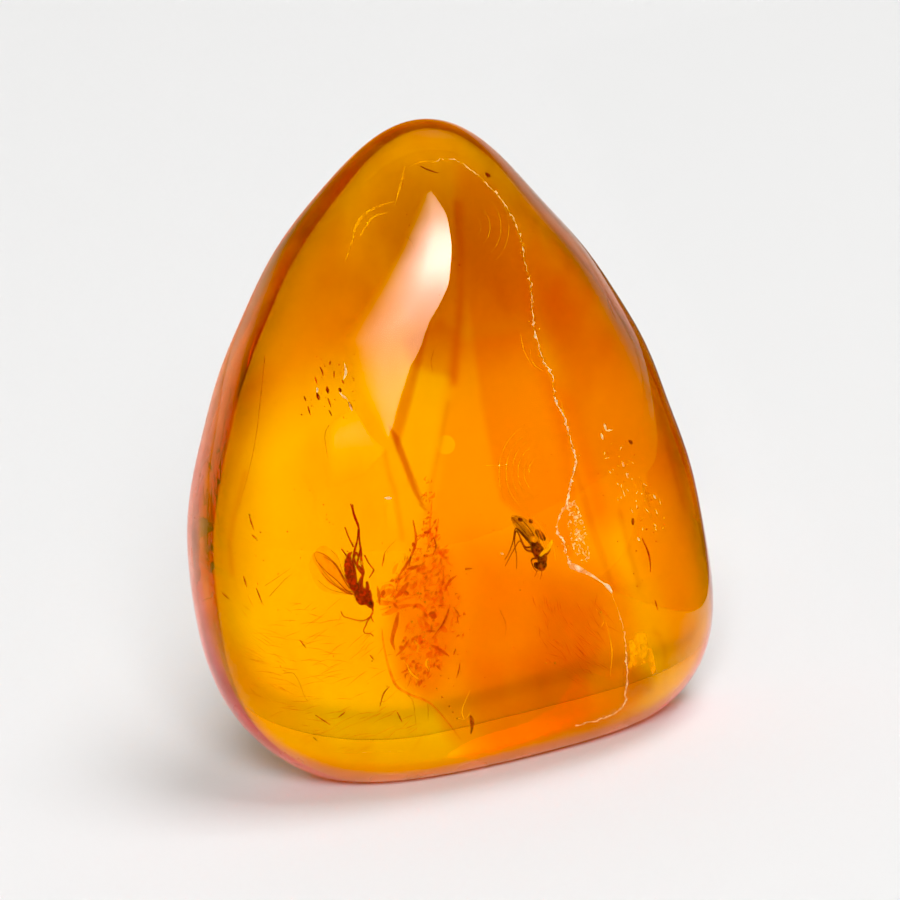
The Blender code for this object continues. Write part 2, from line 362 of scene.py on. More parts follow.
def beside_insects(points, offset=0.0):
    """Points where lines of sight meet the insects' plane, moved back by an offset in millimetres."""
    entries, directions = look_in(points)
    along = (PLANE_OFFSET + np.broadcast_to(offset, len(entries)) * MM - entries @ PLANE_NORMAL)
    return entries + directions * (along / (directions @ PLANE_NORMAL))[:, None]

# %% [markdown]
# ## Three basic shapes
# Nearly all that lies in the stone is one of three shapes. A tube is a round profile carried along a smooth
# path: legs, veins, hairs. A sliver is a flattened tube, broad across the view: flakes, cracks, wings. An
# egg is a ball with three radii: heads, eyes, bubbles. Each returns one grid for `piece`.
# %% Tubes, slivers and eggs
def smooth_path(knots, count):
    """A curve through all knots: Catmull-Rom weights on an even parameter."""
    knots = np.asarray(knots, float)
    padded = np.concatenate([[2 * knots[0] - knots[1]], knots, [2 * knots[-1] - knots[-2]]])
    place = np.linspace(0, len(knots) - 1, count)
    first = np.minimum(place.astype(int), len(knots) - 2)
    t = (place - first)[:, None]
    a, b, c, d = (padded[first + k] for k in range(4))
    return 0.5 * (2 * b + (c - a) * t + (2 * a - 5 * b + 4 * c - d) * t ** 2
                  + (3 * b - a - 3 * c + d) * t ** 3)


def profile_along(path, half_across, half_deep, sides):
    """Ring points path + across * cos + square * sin; across is square to the path and to the view."""
    run = np.gradient(path, axis=0)
    run /= np.linalg.norm(run, axis=1, keepdims=True) + 1e-12
    across = np.cross(run, TOWARDS)
    across /= np.linalg.norm(across, axis=1, keepdims=True) + 1e-12
    square = np.cross(across, run)
    turn = np.linspace(0, 2 * math.pi, sides, endpoint=False)[None, :, None]
    return (path[:, None] + across[:, None] * np.cos(turn) * half_across[:, None, None]
            + square[:, None] * np.sin(turn) * half_deep[:, None, None])


def spread_evenly(values, count):
    """Values spread evenly over a length, and read at count places along it."""
    return np.interp(np.linspace(0, 1, count), np.linspace(0, 1, len(values)), values)


def sliver(knots, half_widths, flat=0.3, sides=8, rings=4):
    """A limb through knots in metres; flat is its thickness as a share of its width, also in metres."""
    count = max(2, rings * (len(knots) - 1) + 1)
    width = spread_evenly(half_widths, count)
    return profile_along(smooth_path(knots, count), width, width * flat, sides), True, True


def tube(knots, radii, sides=8, rings=4):
    """A round limb: a sliver as thick as it is wide."""
    return sliver(knots, radii, 1.0, sides, rings)


def egg(centre, radii, axes=None, rows=10, columns=16):
    """A ball stretched by three radii along three axes (the camera's right, up and back by default)."""
    axes = np.stack([ACROSS, UPWARDS, TOWARDS]) if axes is None else np.asarray(axes)
    polar = np.linspace(0, math.pi, rows + 2)[1:-1][:, None, None]
    turn = np.linspace(0, 2 * math.pi, columns, endpoint=False)[None, :, None]
    ball = (axes[2] * radii[2] * np.cos(polar) + axes[0] * radii[0] * np.sin(polar) * np.cos(turn)
            - axes[1] * radii[1] * np.sin(polar) * np.sin(turn))
    return np.asarray(centre) + ball, True, True

# %% [markdown]
# ## Clouding and flow layers
# Resin ran down the bark in several flows, and each left a film of its own tint. Some films are painted
# shade instead: they darken where the stone shows shadowed floor through itself. A layer is a sheet right
# through the stone at a fixed share of its thickness. It bends no light, it only filters it: the tint is
# worked out on every point from soft shapes and stored as a colour, and the shader adds fine wisps.
# %% Layer helpers
LAYER_ROWS, LAYER_COLUMNS = 200, 300
LAYER_REACH = 0.985                             # how far towards the rim a layer runs
SIGHTS_ACROSS, SIGHTS_DOWN = np.arange(200, 711, 14), np.arange(130, 780, 14)
NEWTON_STEPS, HALVINGS = 8, 30
LONGEST_SIGHT, FIT_UNIT = 40 * MM, 20 * MM
FILTER = {"Transmission Weight": 1.0, "IOR": 1.0, "Roughness": 0.0, "Specular IOR Level": 0.0}
WISP_TINT = (0.8, 0.3, 0.04, 1)


def stone_faces(x, z):
    """Front and back y at (x, z); the spread from the middle is found by Newton's steps."""
    rise = z - MIDDLE_HEIGHT
    angle = np.arctan2(rise, x)
    away, rim, mean = np.hypot(x, rise), rim_radius(angle), RIM_RADII.mean()
    spread = away / rim
    for _ in range(NEWTON_STEPS):
        spread = spread - ((spread * (mean + (rim - mean) * spread ** 2) - away)
                           / (mean + 3 * (rim - mean) * spread ** 2))
    spread = np.clip(spread, 0, 1)
    return stone_points(spread, angle, 1)[..., 1], stone_points(spread, angle, -1)[..., 1]


def at_share(points, share):
    """Points on bent lines of sight where they cross the layer; found by halving the depth range."""
    entries, directions = look_in(points)
    low, high = np.zeros(len(entries)), np.full(len(entries), LONGEST_SIGHT)
    for _ in range(HALVINGS):
        middle = (low + high) / 2
        place = entries + directions * middle[:, None]
        front, back = stone_faces(place[:, 0], place[:, 2])
        ahead = (back - place[:, 1]) - share * (back - front) > 0
        low, high = np.where(ahead, middle, low), np.where(ahead, high, middle)
    return entries + directions * low[:, None]


def power_terms(x, z, order=6):
    """All products of powers of x and z up to an order, as columns."""
    return np.stack([x ** i * z ** j for i in range(order + 1) for j in range(order + 1 - i)], -1)


def seen_from_front(layer, share):
    """Picture points of a layer's points: a smooth map fitted to lines of sight traced through the front."""
    across, down = np.meshgrid(SIGHTS_ACROSS, SIGHTS_DOWN)
    grid = np.stack([across.ravel(), down.ravel()], -1)
    grid = np.array([point for point in grid if STONE_TREE.ray_cast(EYE, camera_ray(point))[0]])
    found = at_share(grid, share)
    known, wanted = (power_terms(places[..., 0] / FIT_UNIT, (places[..., 2] - MIDDLE_HEIGHT) / FIT_UNIT)
                     for places in (found, layer))
    return wanted @ np.linalg.lstsq(known, grid, rcond=None)[0]

# %% [markdown]
# A tint is painted as seen from the front, so its shapes are closed outlines and lines of picture points.
# Each gives a mask from 0 to 1 with a soft border, and each mask colours the light by multiplying it.
# %% Layer masks and sheets
def distance_to_line(seen, line):
    """Shortest distance from each picture point to a chain of straight runs."""
    line = np.asarray(line, float)
    best = np.full(seen.shape[:-1], 1e9)
    for start, end in zip(line[:-1], line[1:]):
        run = end - start
        share = np.clip(((seen - start) @ run) / (run @ run), 0, 1)
        best = np.minimum(best, np.linalg.norm(seen - start - share[..., None] * run, axis=-1))
    return best


def soft_inside(seen, outline, softness):
    """1 inside a closed outline, 0 outside, with a soft border; inside is told by counting crossings."""
    outline = np.asarray(outline, float)
    closed = np.concatenate([outline, outline[:1]])
    crossings = np.zeros(seen.shape[:-1], int)
    for (x0, y0), (x1, y1) in zip(closed[:-1], closed[1:]):
        if y0 == y1:
            continue
        between = (seen[..., 1] > min(y0, y1)) & (seen[..., 1] <= max(y0, y1))
        crossing = x0 + (seen[..., 1] - y0) * (x1 - x0) / (y1 - y0)
        crossings += between & (seen[..., 0] < crossing)
    sign = np.where(crossings % 2 == 1, 1.0, -1.0)
    step = np.clip(0.5 + sign * distance_to_line(seen, closed) / (2 * softness), 0, 1)
    return step * step * (3 - 2 * step)


def soft_line(seen, line, width):
    """1 on a line, fading to 0 over a width."""
    return np.exp(-(distance_to_line(seen, line) / width) ** 2)


def layer_points(share, reach):
    """Sheet between the back (share 0) and the front (share 1), short of the rim."""
    spread = np.sin(np.linspace(0.02, 1, LAYER_ROWS) * math.pi / 2)[:, None] * reach
    around = -np.linspace(0, 2 * math.pi, LAYER_COLUMNS, endpoint=False)[None, :]
    front, back = stone_points(spread, around, 1), stone_points(spread, around, -1)
    return back + (front - back) * share


def layer_finish(name, wisps):
    """A film that bends nothing: its colour multiplies the light, and streaky noise varies it."""
    finish = Finish(name, FILTER)
    streaks = finish.noise(300, 3.0, (1, 1, 0.45)).rise(0.45, 0.8)
    return finish.feed(Base_Color=finish.blend(streaks * wisps, finish.attribute("tint"), WISP_TINT))


def layer(name, share, paint, wisps, reach=LAYER_REACH):
    """A tinted sheet; paint gives each point's tint from the picture point where it is seen."""
    points = layer_points(share, reach)
    made = piece(name, [(points, True, False)], layer_finish(name, wisps))
    paint_points(made, "tint", np.clip(paint(seen_from_front(points, share)), 0, 1) ** 2)


def filtered(films):
    """Product of films; a film is (mask, colour) and colours what the mask covers."""
    tint = 1.0
    for mask, colour in films:
        tint = tint * (1 - mask[..., None] * (1 - np.array(colour)))
    return tint


def clouds(seen, table):
    """Films inside closed outlines; a row of the table is (outline, softness in points, colour)."""
    return [(soft_inside(seen, outline, softness), colour) for outline, softness, colour in table]

# %% [markdown]
# ## Large clouding and painted shade
# Seen from the front, the lower left is the clearest yellow. The crown and both flanks are a darker ochre,
# which is painted shade: films that stand for the shadowed floor the stone shows through its top and sides.
# A broad tongue of orange resin runs down the middle to the right of the gnat.
# %% Back layer
# CROWN, CROWN_TOP, LEFT_FLANK, RIGHT_FLANK and FOOT_RIGHT outline painted shade, not resin tint
CROWN = ((430, 100), (560, 180), (720, 420), (655, 400), (590, 330), (470, 345), (395, 352), (335, 372),
         (262, 420), (150, 520), (150, 300), (300, 130))
CROWN_TOP = ((430, 60), (270, 180), (280, 320), (430, 350), (600, 340), (620, 160))
LEFT_FLANK = ((150, 380), (262, 380), (250, 450), (246, 560), (240, 620), (262, 700), (150, 700))
RIGHT_FLANK = ((735, 380), (640, 400), (652, 470), (668, 530), (672, 585), (668, 640), (690, 680),
               (740, 650))
TONGUE = ((455, 340), (520, 330), (575, 400), (600, 470), (618, 560), (640, 640), (640, 745), (480, 790),
          (458, 745), (425, 705), (398, 678), (384, 640), (392, 590), (420, 545), (436, 480), (444, 410))
DEEP_RED = ((470, 545), (560, 560), (612, 600), (626, 680), (605, 725), (500, 745), (455, 720), (440, 650))
RIGHT_UPPER = ((520, 200), (548, 365), (572, 450), (590, 520), (622, 530), (648, 600), (668, 660),
               (760, 640), (740, 380), (620, 200))
RIGHT_BROW = ((540, 320), (680, 320), (720, 480), (620, 480), (580, 440))
LOWER_RIGHT = ((545, 585), (600, 575), (640, 590), (668, 640), (660, 690), (640, 730), (560, 750),
               (530, 690))
LOWER_LEFT = ((215, 640), (300, 690), (320, 745), (240, 750))
FOOT_RIGHT = ((468, 660), (620, 640), (650, 690), (600, 740), (480, 755))
FLAME = ((424, 700), (438, 700), (442, 752), (420, 755))


# the CROWN, CROWN_TOP, LEFT_FLANK, RIGHT_FLANK and FOOT_RIGHT rows are painted shade
CLOUDING_AND_SHADE = ((CROWN, 42, (0.84, 0.5, 1)), (CROWN_TOP, 70, (0.78, 0.64, 1)), (LEFT_FLANK, 30, (0.8, 0.53, 1)),
            (RIGHT_FLANK, 26, (0.9, 0.7, 1)), (TONGUE, 10, (0.98, 0.74, 1)), (DEEP_RED, 40, (0.9, 0.61, 1)),
            (FLAME, 4, (1, 1.12, 1)), (RIGHT_UPPER, 22, (0.9, 0.56, 1)), (RIGHT_BROW, 30, (0.86, 0.71, 1)),
            (LOWER_RIGHT, 22, (0.885, 0.76, 1)), (LOWER_LEFT, 24, (1, 0.8, 1)),
            (FOOT_RIGHT, 16, (0.97, 0.8, 1)))


def paint_clouding_and_shade(seen):
    return filtered(clouds(seen, CLOUDING_AND_SHADE))


layer("clouding_and_painted_shade", 0.22, paint_clouding_and_shade, 0.4)

# %% [markdown]
# ## Seams between the flows
# Each flow ends in a thin seam that shows as a darker strip, and narrow wedges of red resin lie between.
# %% Middle layer
RED_STRIP = ((458, 205), (459, 250), (461, 293), (457, 340), (453, 382))
STEP = ((404, 340), (412, 365), (432, 372), (455, 378), (456, 330), (440, 318), (424, 330))
WEDGE = ((389, 425), (399, 436), (411, 468), (418, 487), (427, 512), (421, 506), (410, 484), (398, 452))
LEFT_STRIP = ((430, 322), (421, 345), (411, 370), (398, 408), (392, 434), (398, 452), (412, 400),
              (424, 352))
SEAM_LINES = (
    ((448, 404), (441, 440), (431, 487), (428, 512)), ((385, 452), (390, 475), (396, 493), (403, 539)),
    ((246, 473), (235, 515), (230, 543), (233, 573)), ((583, 490), (596, 540), (614, 591)),
    ((621, 511), (630, 550), (640, 587)), ((576, 470), (590, 520), (604, 560)),
    ((655, 630), (664, 648), (665, 687)), ((658, 405), (663, 431), (672, 470), (684, 508)))
RIGHT_TONGUE = ((455, 160), (492, 185), (520, 235), (532, 300), (546, 365), (568, 432), (577, 500),
                (570, 560), (500, 500), (480, 400), (468, 300), (455, 220))
SCRAP_HAZE = ((386, 600), (402, 582), (424, 560), (450, 555), (458, 600), (450, 650), (440, 690),
              (428, 700), (409, 692), (396, 676), (404, 640), (398, 615))
VEIL = ((540, 600), (582, 609), (597, 600), (606, 622), (598, 660), (570, 675), (545, 650))
SHADE_RIGHT = ((628, 667), (655, 672), (652, 692), (628, 694))


SEAMS = ((STEP, 6, (0.9, 0.72, 1)), (WEDGE, 1.5, (0.72, 0.42, 1)), (LEFT_STRIP, 3, (0.84, 0.6, 1)),
         (RIGHT_TONGUE, 4, (0.95, 0.76, 1)), (VEIL, 6, (0.97, 0.9, 1)), (SCRAP_HAZE, 12, (0.92, 0.66, 1)),
         (SHADE_RIGHT, 8, (0.75, 0.6, 1)))


def paint_seams(seen):
    lines = sum(soft_line(seen, line, 3.0) for line in SEAM_LINES)
    return filtered([(soft_line(seen, RED_STRIP, 5) * 0.7, (0.85, 0.5, 1)), *clouds(seen, SEAMS),
                     (np.clip(lines, 0, 1) * 0.35, (0.8, 0.5, 1))])


layer("seams", 0.6, paint_seams, 0.3)

# %% [markdown]
# ## Painted shade and a painted rim reflection
# One more layer lies close to the front and darkens the foot and the flanks: painted shade, for the shadowed
# floor that shows through the foot and for the dark rim at the upper right. The rim itself carries a thin
# salmon painted reflection, a glowing belt that stands for the white surroundings mirrored at the grazing
# edge: a belt just inside the rim, densest on the edge and clear on both sides of it.
# %% Painted shade film and painted rim reflection
# outlines of painted shade: FOOT and FOOT_SHADE for the shadowed floor seen through the foot, UPPER_RIGHT for
# the dark upper right rim
FOOT = ((190, 640), (205, 640), (224, 672), (246, 706), (280, 742), (309, 755), (345, 764), (382, 766),
        (433, 763), (480, 751), (526, 737), (572, 725), (618, 716), (656, 705), (679, 688), (694, 667),
        (702, 640), (760, 640), (760, 840), (190, 840))
FOOT_SHADE = ((190, 600), (230, 640), (300, 735), (440, 742), (600, 700), (680, 650), (760, 600),
              (760, 840), (190, 840))
UPPER_RIGHT = ((440, 100), (470, 135), (505, 170), (545, 225), (580, 275), (620, 330), (680, 330),
               (560, 100))
FRONT_SHADE_SHARE, FRONT_SHADE_REACH = 0.94, 0.998


PAINTED_FRONT_SHADE = (FOOT, 6, (0.96, 0.68, 1)), (FOOT_SHADE, 30, (1, 0.74, 1)), (UPPER_RIGHT, 10, (0.92, 0.75, 1))


def paint_front_shade(seen):
    return filtered(clouds(seen, PAINTED_FRONT_SHADE))


layer("front_shade_film", FRONT_SHADE_SHARE, paint_front_shade, 0.1, FRONT_SHADE_REACH)

# painted rim reflection: a salmon and orange glow on a belt inside the rim, standing for mirrored white
# surroundings
PAINTED_RIM_HALF, PAINTED_RIM_FOOT, PAINTED_RIM_INSET, PAINTED_RIM_ROWS = 0.46, 0.14, 0.992, 80
PAINTED_RIM_SALMON, PAINTED_RIM_ORANGE = (0.68, 0.22, 0.16, 1), (0.85, 0.32, 0.02, 1)
PAINTED_RIM_COVER, PAINTED_RIM_GLOW, PAINTED_RIM_FADE = 0.5, 0.85, 0.62


def add_painted_rim_reflection():
    """Painted rim reflection: a glowing belt for the white surroundings mirrored at the grazing edge.

    The polar angle runs PAINTED_RIM_HALF either way, further at the foot. It is densest on the edge itself
    and fades towards both sides.
    """
    across = np.linspace(-1, 1, PAINTED_RIM_ROWS)[:, None]
    around = np.linspace(0, 2 * math.pi, STONE_COLUMNS, endpoint=False)[None, :]
    low = np.clip(np.sin(around), 0, 1) ** 4
    high = np.clip(-np.sin(around), 0, 1)
    half = PAINTED_RIM_HALF + PAINTED_RIM_FOOT * low
    points = stone_points(np.cos(across * half), -around, np.where(across < 0, 1, -1))
    heart = np.array((0, STAND_BACK, MIDDLE_HEIGHT))
    points = heart + (points - heart) * PAINTED_RIM_INSET
    finish = Finish("painted_rim_glow", {"Roughness": 0.5, "IOR": 1.3, "Emission Strength": PAINTED_RIM_GLOW})
    cover = finish.attribute("cover", "Fac")
    patches = finish.noise(500, 3.0).rise(0.3, 0.7)
    tone = finish.blend(cover.rise(0.36, 0.5), PAINTED_RIM_ORANGE, PAINTED_RIM_SALMON)
    finish.feed(Base_Color=tone, Emission_Color=tone, Alpha=cover * (1 - patches * 0.35))
    made = piece("painted_rim_reflection_belt", [(points, True, False)], finish.material)
    fade = np.clip((1 - np.abs(across)) / (PAINTED_RIM_FADE - 0.35 * low), 0, 1)
    strength = PAINTED_RIM_COVER * (1 - 0.5 * high + 0.1 * low) * fade ** 2 * (3 - 2 * fade)
    made.visible_diffuse = False
    made.data.attributes.new("cover", "FLOAT", "POINT").data.foreach_set("value", strength.ravel())


add_painted_rim_reflection()

# %% [markdown]
# ## Limbs placed by sight
# Every part of an insect is drawn where it is seen, with an offset in millimetres behind (plus) or before
# (minus) the plane that the insects lie on. Its thickness is a real one, in millimetres.
# %% Limb helpers
def inside(knots):
    """Places of (across, down, offset) knots beside the insects' plane."""
    knots = np.asarray(knots, float)
    return beside_insects(knots[:, :2], knots[:, 2])


def limb(knots, radii, **how):
    """A tube through knots; radii in millimetres."""
    return tube(inside(knots), np.asarray(radii) * MM, **how)


def ringed(knots, radii, segments, swell=0.07):
    """A tube of equal segments: each ring bulges by a share of its radius, as |sin| along the length."""
    place = np.linspace(0, 1, segments * 8 + 1)
    radius = spread_evenly(radii, len(place)) * MM
    radius *= 1 - swell + 2 * swell * np.abs(np.sin(place * segments * math.pi))
    path = smooth_path(inside(knots), len(place))
    return profile_along(path, radius, radius, 20), True, True


def along_body(knots, radii, **how):
    """An egg between two knots: its long radius is half their distance, the other two are given."""
    start, end = inside(knots)
    long = end - start
    half = np.linalg.norm(long) / 2
    long /= 2 * half
    side = np.cross(long, TOWARDS)
    side /= np.linalg.norm(side)
    return egg((start + end) / 2, (half, radii[0] * MM, radii[1] * MM),
               [long, side, np.cross(long, side)], **how)


def blade(lead, trail, thickness=0.012, camber=0.0, rows=40, columns=12):
    """A wing: straight ribs from the leading to the trailing edge, bowed and thin as a lens."""
    lead, trail = (smooth_path(inside(edge), rows)[:, None] for edge in (lead, trail))
    share = np.concatenate([np.linspace(0, 1, columns), np.linspace(1, 0, columns)[1:-1]])[None, :, None]
    side = np.concatenate([np.full(columns, 1.0), np.full(columns - 2, -1.0)])[None, :, None]
    bow = np.sin(share * math.pi)
    points = lead * (1 - share) + trail * share + TOWARDS * bow * (camber + side * thickness / 2) * MM
    return points, True, True


def bristles(base, tips, radius, sides=3):
    """Straight hairs from base points to tip points; one grid each, pointed."""
    return [tube(np.stack([start, end]), (radius * MM, radius * 0.2 * MM), sides=sides, rings=1)
            for start, end in zip(base, tips)]


def hairs_on(grid, count, length, seed, radius=0.006):
    """Hairs standing off a limb: random points of its grid, pushed away from the ring's middle."""
    points = grid[0]
    chance = np.random.default_rng(seed)
    row = chance.integers(1, len(points) - 1, count)
    column = chance.integers(0, points.shape[1], count)
    root, middle = points[row, column], points.mean(1)[row]
    away = (root - middle) / (np.linalg.norm(root - middle, axis=1, keepdims=True) + 1e-9)
    slant = chance.normal(0, 0.35, root.shape)
    return bristles(root, root + (away + slant) * length * MM * chance.uniform(0.5, 1, (count, 1)), radius)


def skin_finish(name, dark, light, scale, gloss=0.35, clear=1.0):
    """Chitin seen through amber: two tones in cloudy patches, a dull shine and fine pits."""
    finish = Finish(name, {"Roughness": gloss, "IOR": 1.56, "Alpha": clear})
    patches = finish.noise(scale, 4.0).rise(0.35, 0.65)
    pits = finish.noise(scale * 6, 2.0)
    return finish.feed(Base_Color=finish.blend(patches, dark, light), Roughness=patches * 0.2 + gloss,
                       Normal=finish.bump(pits, 0.01 * MM))


def film_finish(name, tone, wrinkle, scale):
    """Thin skin as a colour filter: it bends no light, and fine wrinkles are denser than the rest."""
    finish = Finish(name, FILTER)
    wrinkles = finish.noise(scale, 4.0, (1, 1, 0.4)).rise(0.42, 0.7)
    return finish.feed(Base_Color=finish.blend(wrinkles, tone, wrinkle))

# %% [markdown]
# ## The gnat
# The larger insect is a fungus gnat, sunk head down: a ringed abdomen, a humped thorax, a small head with
# large eyes, long folded legs and two wings spread to the left. Chitin turns deep red behind amber, and thin
# limbs let light through. Each limb is a tube whose radii taper from joint to joint.
# %% Gnat body
GNAT_DARK, GNAT_LIGHT = (0.3, 0.012, 0.003, 1), (0.85, 0.08, 0.012, 1)
GNAT_LEG_DARK, GNAT_LEG_LIGHT = (0.4, 0.02, 0.004, 1), (0.8, 0.1, 0.015, 1)
GNAT_ABDOMEN = ((349.4, 555.5, 0.1), (348.4, 561, 0.05), (348.6, 568, 0), (350.2, 577, 0), (354.5, 586, 0),
                (359, 592, 0))
GNAT_ABDOMEN_RADII = (0.08, 0.17, 0.2, 0.22, 0.21, 0.17)
GNAT_TAIL = (
    ((348.6, 557, 0.1), (350.5, 553.6, 0.1), (352, 551.6, 0.05)),
    ((347.6, 558, 0.1), (348.2, 554.6, 0.15), (349.6, 552.2, 0.15)))
GNAT_THORAX = ((356, 586.5, 0.05), (367.5, 604, 0))
GNAT_HUMP = ((357.6, 592, -0.2), (363.5, 605, -0.1))
GNAT_SHOULDER = ((364.6, 590.5, 0.0), (371.6, 604.5, -0.05))
GNAT_NECK = ((366, 601.5, 0), (369.5, 603.5, -0.03))
GNAT_HEAD = ((367.8, 600.8, -0.05), (373.0, 607.6, -0.05))
GNAT_EYES = (((369.6, 601.6, -0.22), (372.2, 605.6, -0.22)), ((370.4, 600.8, 0.14), (373.4, 604.8, 0.14)))
GNAT_MOUTH = ((372, 606, -0.05), (372.6, 609.5, -0.02), (373, 612, 0))
HAIR_SEED = 11

abdomen = ringed(GNAT_ABDOMEN, GNAT_ABDOMEN_RADII, 8)
thorax = along_body(GNAT_THORAX, (0.34, 0.36), rows=24, columns=32)
body = [abdomen, thorax, along_body(GNAT_HUMP, (0.24, 0.22), rows=18, columns=24),
        along_body(GNAT_SHOULDER, (0.17, 0.22), rows=18, columns=24),
        limb(GNAT_NECK, (0.1, 0.08, 0.1)), along_body(GNAT_HEAD, (0.17, 0.22), rows=16, columns=24),
        limb(GNAT_MOUTH, (0.07, 0.045, 0.02))]
body += [limb(knots, (0.07, 0.05, 0.02)) for knots in GNAT_TAIL]
piece("gnat_body", body, skin_finish("gnat_chitin", GNAT_DARK, GNAT_LIGHT, 5200), ("gnat",))
eyes = [along_body(knots, (0.1, 0.06), rows=14, columns=20) for knots in GNAT_EYES]
piece("gnat_eyes", eyes, skin_finish("gnat_eye", (0.05, 0.002, 0.002, 1), (0.2, 0.01, 0.004, 1), 24000, 0.2))
piece("gnat_hairs", hairs_on(abdomen, 90, 0.16, HAIR_SEED) + hairs_on(thorax, 110, 0.22, HAIR_SEED + 1),
      skin_finish("gnat_bristle", GNAT_DARK, GNAT_LEG_LIGHT, 9000))

# %% [markdown]
# The legs are folded up along the body and crossed above it; each has a thick femur, a thinner shin and a
# foot of five small beads. The feelers hang below the head.
# %% Gnat legs and feelers
GNAT_THIGHS = (
    ((358, 589, 0.1), (360.5, 581, 0.12), (363.6, 572.5, 0.1)),
    ((363.6, 572.5, 0.1), (360, 568.5, 0.15), (356, 564.5, 0.2)),
    ((362, 590, -0.15), (361, 583, -0.25), (362.5, 575, -0.3)),
    ((356, 587, 0.3), (354, 571, 0.35), (352.6, 560, 0.35)),
    ((365.5, 594, -0.1), (367.4, 588, -0.12), (366.7, 581.4, -0.12)),
    ((366.5, 597, 0.1), (370, 597.5, 0.14), (369.4, 590, 0.16)))
GNAT_THIGH_RADII = (0.09, 0.1, 0.055)
GNAT_SHINS = (
    ((356, 564.5, 0.2), (353.8, 557, 0.2), (355.0, 549, 0.15), (357.4, 541, 0.1), (358.2, 533, 0.1)),
    ((363.6, 572.5, 0.1), (361.5, 562, 0.1), (360.8, 551, 0.05), (359.5, 542, 0.05), (358.9, 529, 0)),
    ((362.5, 575, -0.3), (357.5, 566, -0.3), (358.8, 556, -0.25), (360.5, 549, -0.2)),
    ((352.6, 560, 0.35), (356, 552.5, 0.3), (358.6, 556.4, 0.25), (360.3, 553, 0.2)))
GNAT_SHIN_RADII = (0.05, 0.055, 0.05, 0.04, 0.035)
GNAT_FEET = (
    ((358.2, 533, 0.1), (358.4, 526, 0.1), (356.2, 519, 0.05), (354, 512, 0), (352.4, 504.4, 0)),
    ((358.9, 529, 0), (357, 523.5, 0), (354.3, 516.5, -0.05), (352.5, 510, -0.1), (350.8, 503.8, -0.1)),
    ((353.6, 547.1, 0.2), (349.3, 537.9, 0.15), (345, 527.1, 0.1)),
    ((364.6, 555, -0.2), (368.6, 562.9, -0.25), (373.9, 570, -0.3)),
    ((373.9, 570, -0.3), (371.8, 574, -0.3), (369.3, 577.9, -0.25)),
    ((347.5, 557, 0.4), (344.5, 552.5, 0.5), (341.5, 549, 0.5)))
GNAT_FOOT_RADII = (0.036, 0.03, 0.026)
GNAT_FEELERS = (
    ((373.1, 612.4, -0.1), (368.6, 617.9, -0.2), (361.4, 620.7, -0.25), (350, 618.6, -0.3),
     (343.6, 616.4, -0.3), (341, 611, -0.3)),
    ((372.1, 612.9, 0), (371.4, 616.4, 0.05), (373.6, 621.9, 0.1)),
    ((371.4, 616, 0), (367.9, 620.7, 0.05), (366, 625, 0.1), (363.9, 630, 0.1), (365, 633.3, 0.1),
     (370, 633.6, 0.1), (373.6, 636.4, 0.1)))
GNAT_FEELER_RADII = (0.032, 0.026, 0.02)

legs = [limb(knots, GNAT_THIGH_RADII, sides=10, rings=8) for knots in GNAT_THIGHS]
legs += [limb(knots, GNAT_SHIN_RADII, sides=8, rings=6) for knots in GNAT_SHINS]
feet = [ringed(knots, GNAT_FOOT_RADII, 5 * (len(knots) - 1), 0.2) for knots in GNAT_FEET]
feelers = [ringed(knots, GNAT_FEELER_RADII, 5 * (len(knots) - 1), 0.2) for knots in GNAT_FEELERS]
piece("gnat_legs", legs + feet + feelers,
      skin_finish("gnat_leg", GNAT_LEG_DARK, GNAT_LEG_LIGHT, 6000))
leg_hairs = [hair for k, leg in enumerate(legs) for hair in hairs_on(leg, 14, 0.1, HAIR_SEED + 5 + k)]
piece("gnat_leg_hairs", leg_hairs,
      skin_finish("gnat_fuzz", GNAT_LEG_DARK, GNAT_LEG_LIGHT, 9000))

# %% [markdown]
# A gnat's wing is a clear skin stiffened by a few forked veins. The skin is a thin lens between its leading
# and trailing edges, and the veins are tubes on it. The far wing lies behind, fainter and a little turned.
# %% Gnat wings
WING_LEAD = ((355, 591, 0.15), (350.7, 586.9, 0.2), (345.7, 579.7, 0.3), (340.7, 571.1, 0.4),
             (335.7, 564, 0.45), (328.6, 556.9, 0.5), (321.4, 552.6, 0.5), (316.5, 551.4, 0.5),
             (312.9, 554.3, 0.5))
WING_TRAIL = ((355, 594, 0.15), (351, 595.4, 0.2), (345, 593, 0.3), (337.1, 588.4, 0.4),
              (328.6, 582.6, 0.5), (322.9, 575.8, 0.55), (317.1, 567, 0.55), (313.2, 560, 0.5),
              (312.4, 555.6, 0.5))
FAR_LEAD = ((354, 588, 0.4), (347, 580, 0.6), (342.9, 574, 0.7), (339.5, 563, 0.8), (336.6, 554, 0.85),
            (330.4, 548.4, 0.9), (322.4, 545.7, 0.9), (314.5, 550.5, 0.9), (310.5, 560, 0.9))
FAR_TRAIL = ((354, 593, 0.4), (345, 594.5, 0.6), (336, 594, 0.7), (328.6, 592.4, 0.8), (321, 588.8, 0.85),
             (315.6, 583, 0.9), (312, 576.4, 0.9), (310, 569, 0.9), (309.6, 563, 0.9))
WING_VEINS = (
    ((354, 590.5, 0.16), (345.2, 579.6, 0.3), (340.2, 571.2, 0.4), (335.2, 564, 0.45), (328, 557, 0.5),
     (320.5, 553, 0.5), (315.7, 552.1, 0.5)),
    ((354, 592, 0.14), (348, 586, 0.25), (342.5, 577, 0.35), (337.5, 569, 0.42), (331.5, 561.6, 0.5),
     (324, 556.4, 0.5)),
    ((353, 594, 0.16), (345, 588.5, 0.3), (336, 580, 0.42), (326, 571, 0.5), (316, 560, 0.52)),
    ((352, 594.6, 0.16), (344, 591, 0.3), (336, 586.4, 0.42), (328, 580, 0.5), (321.5, 572.5, 0.54)))
WING_VEIN_RADII = (0.026, 0.022, 0.012)
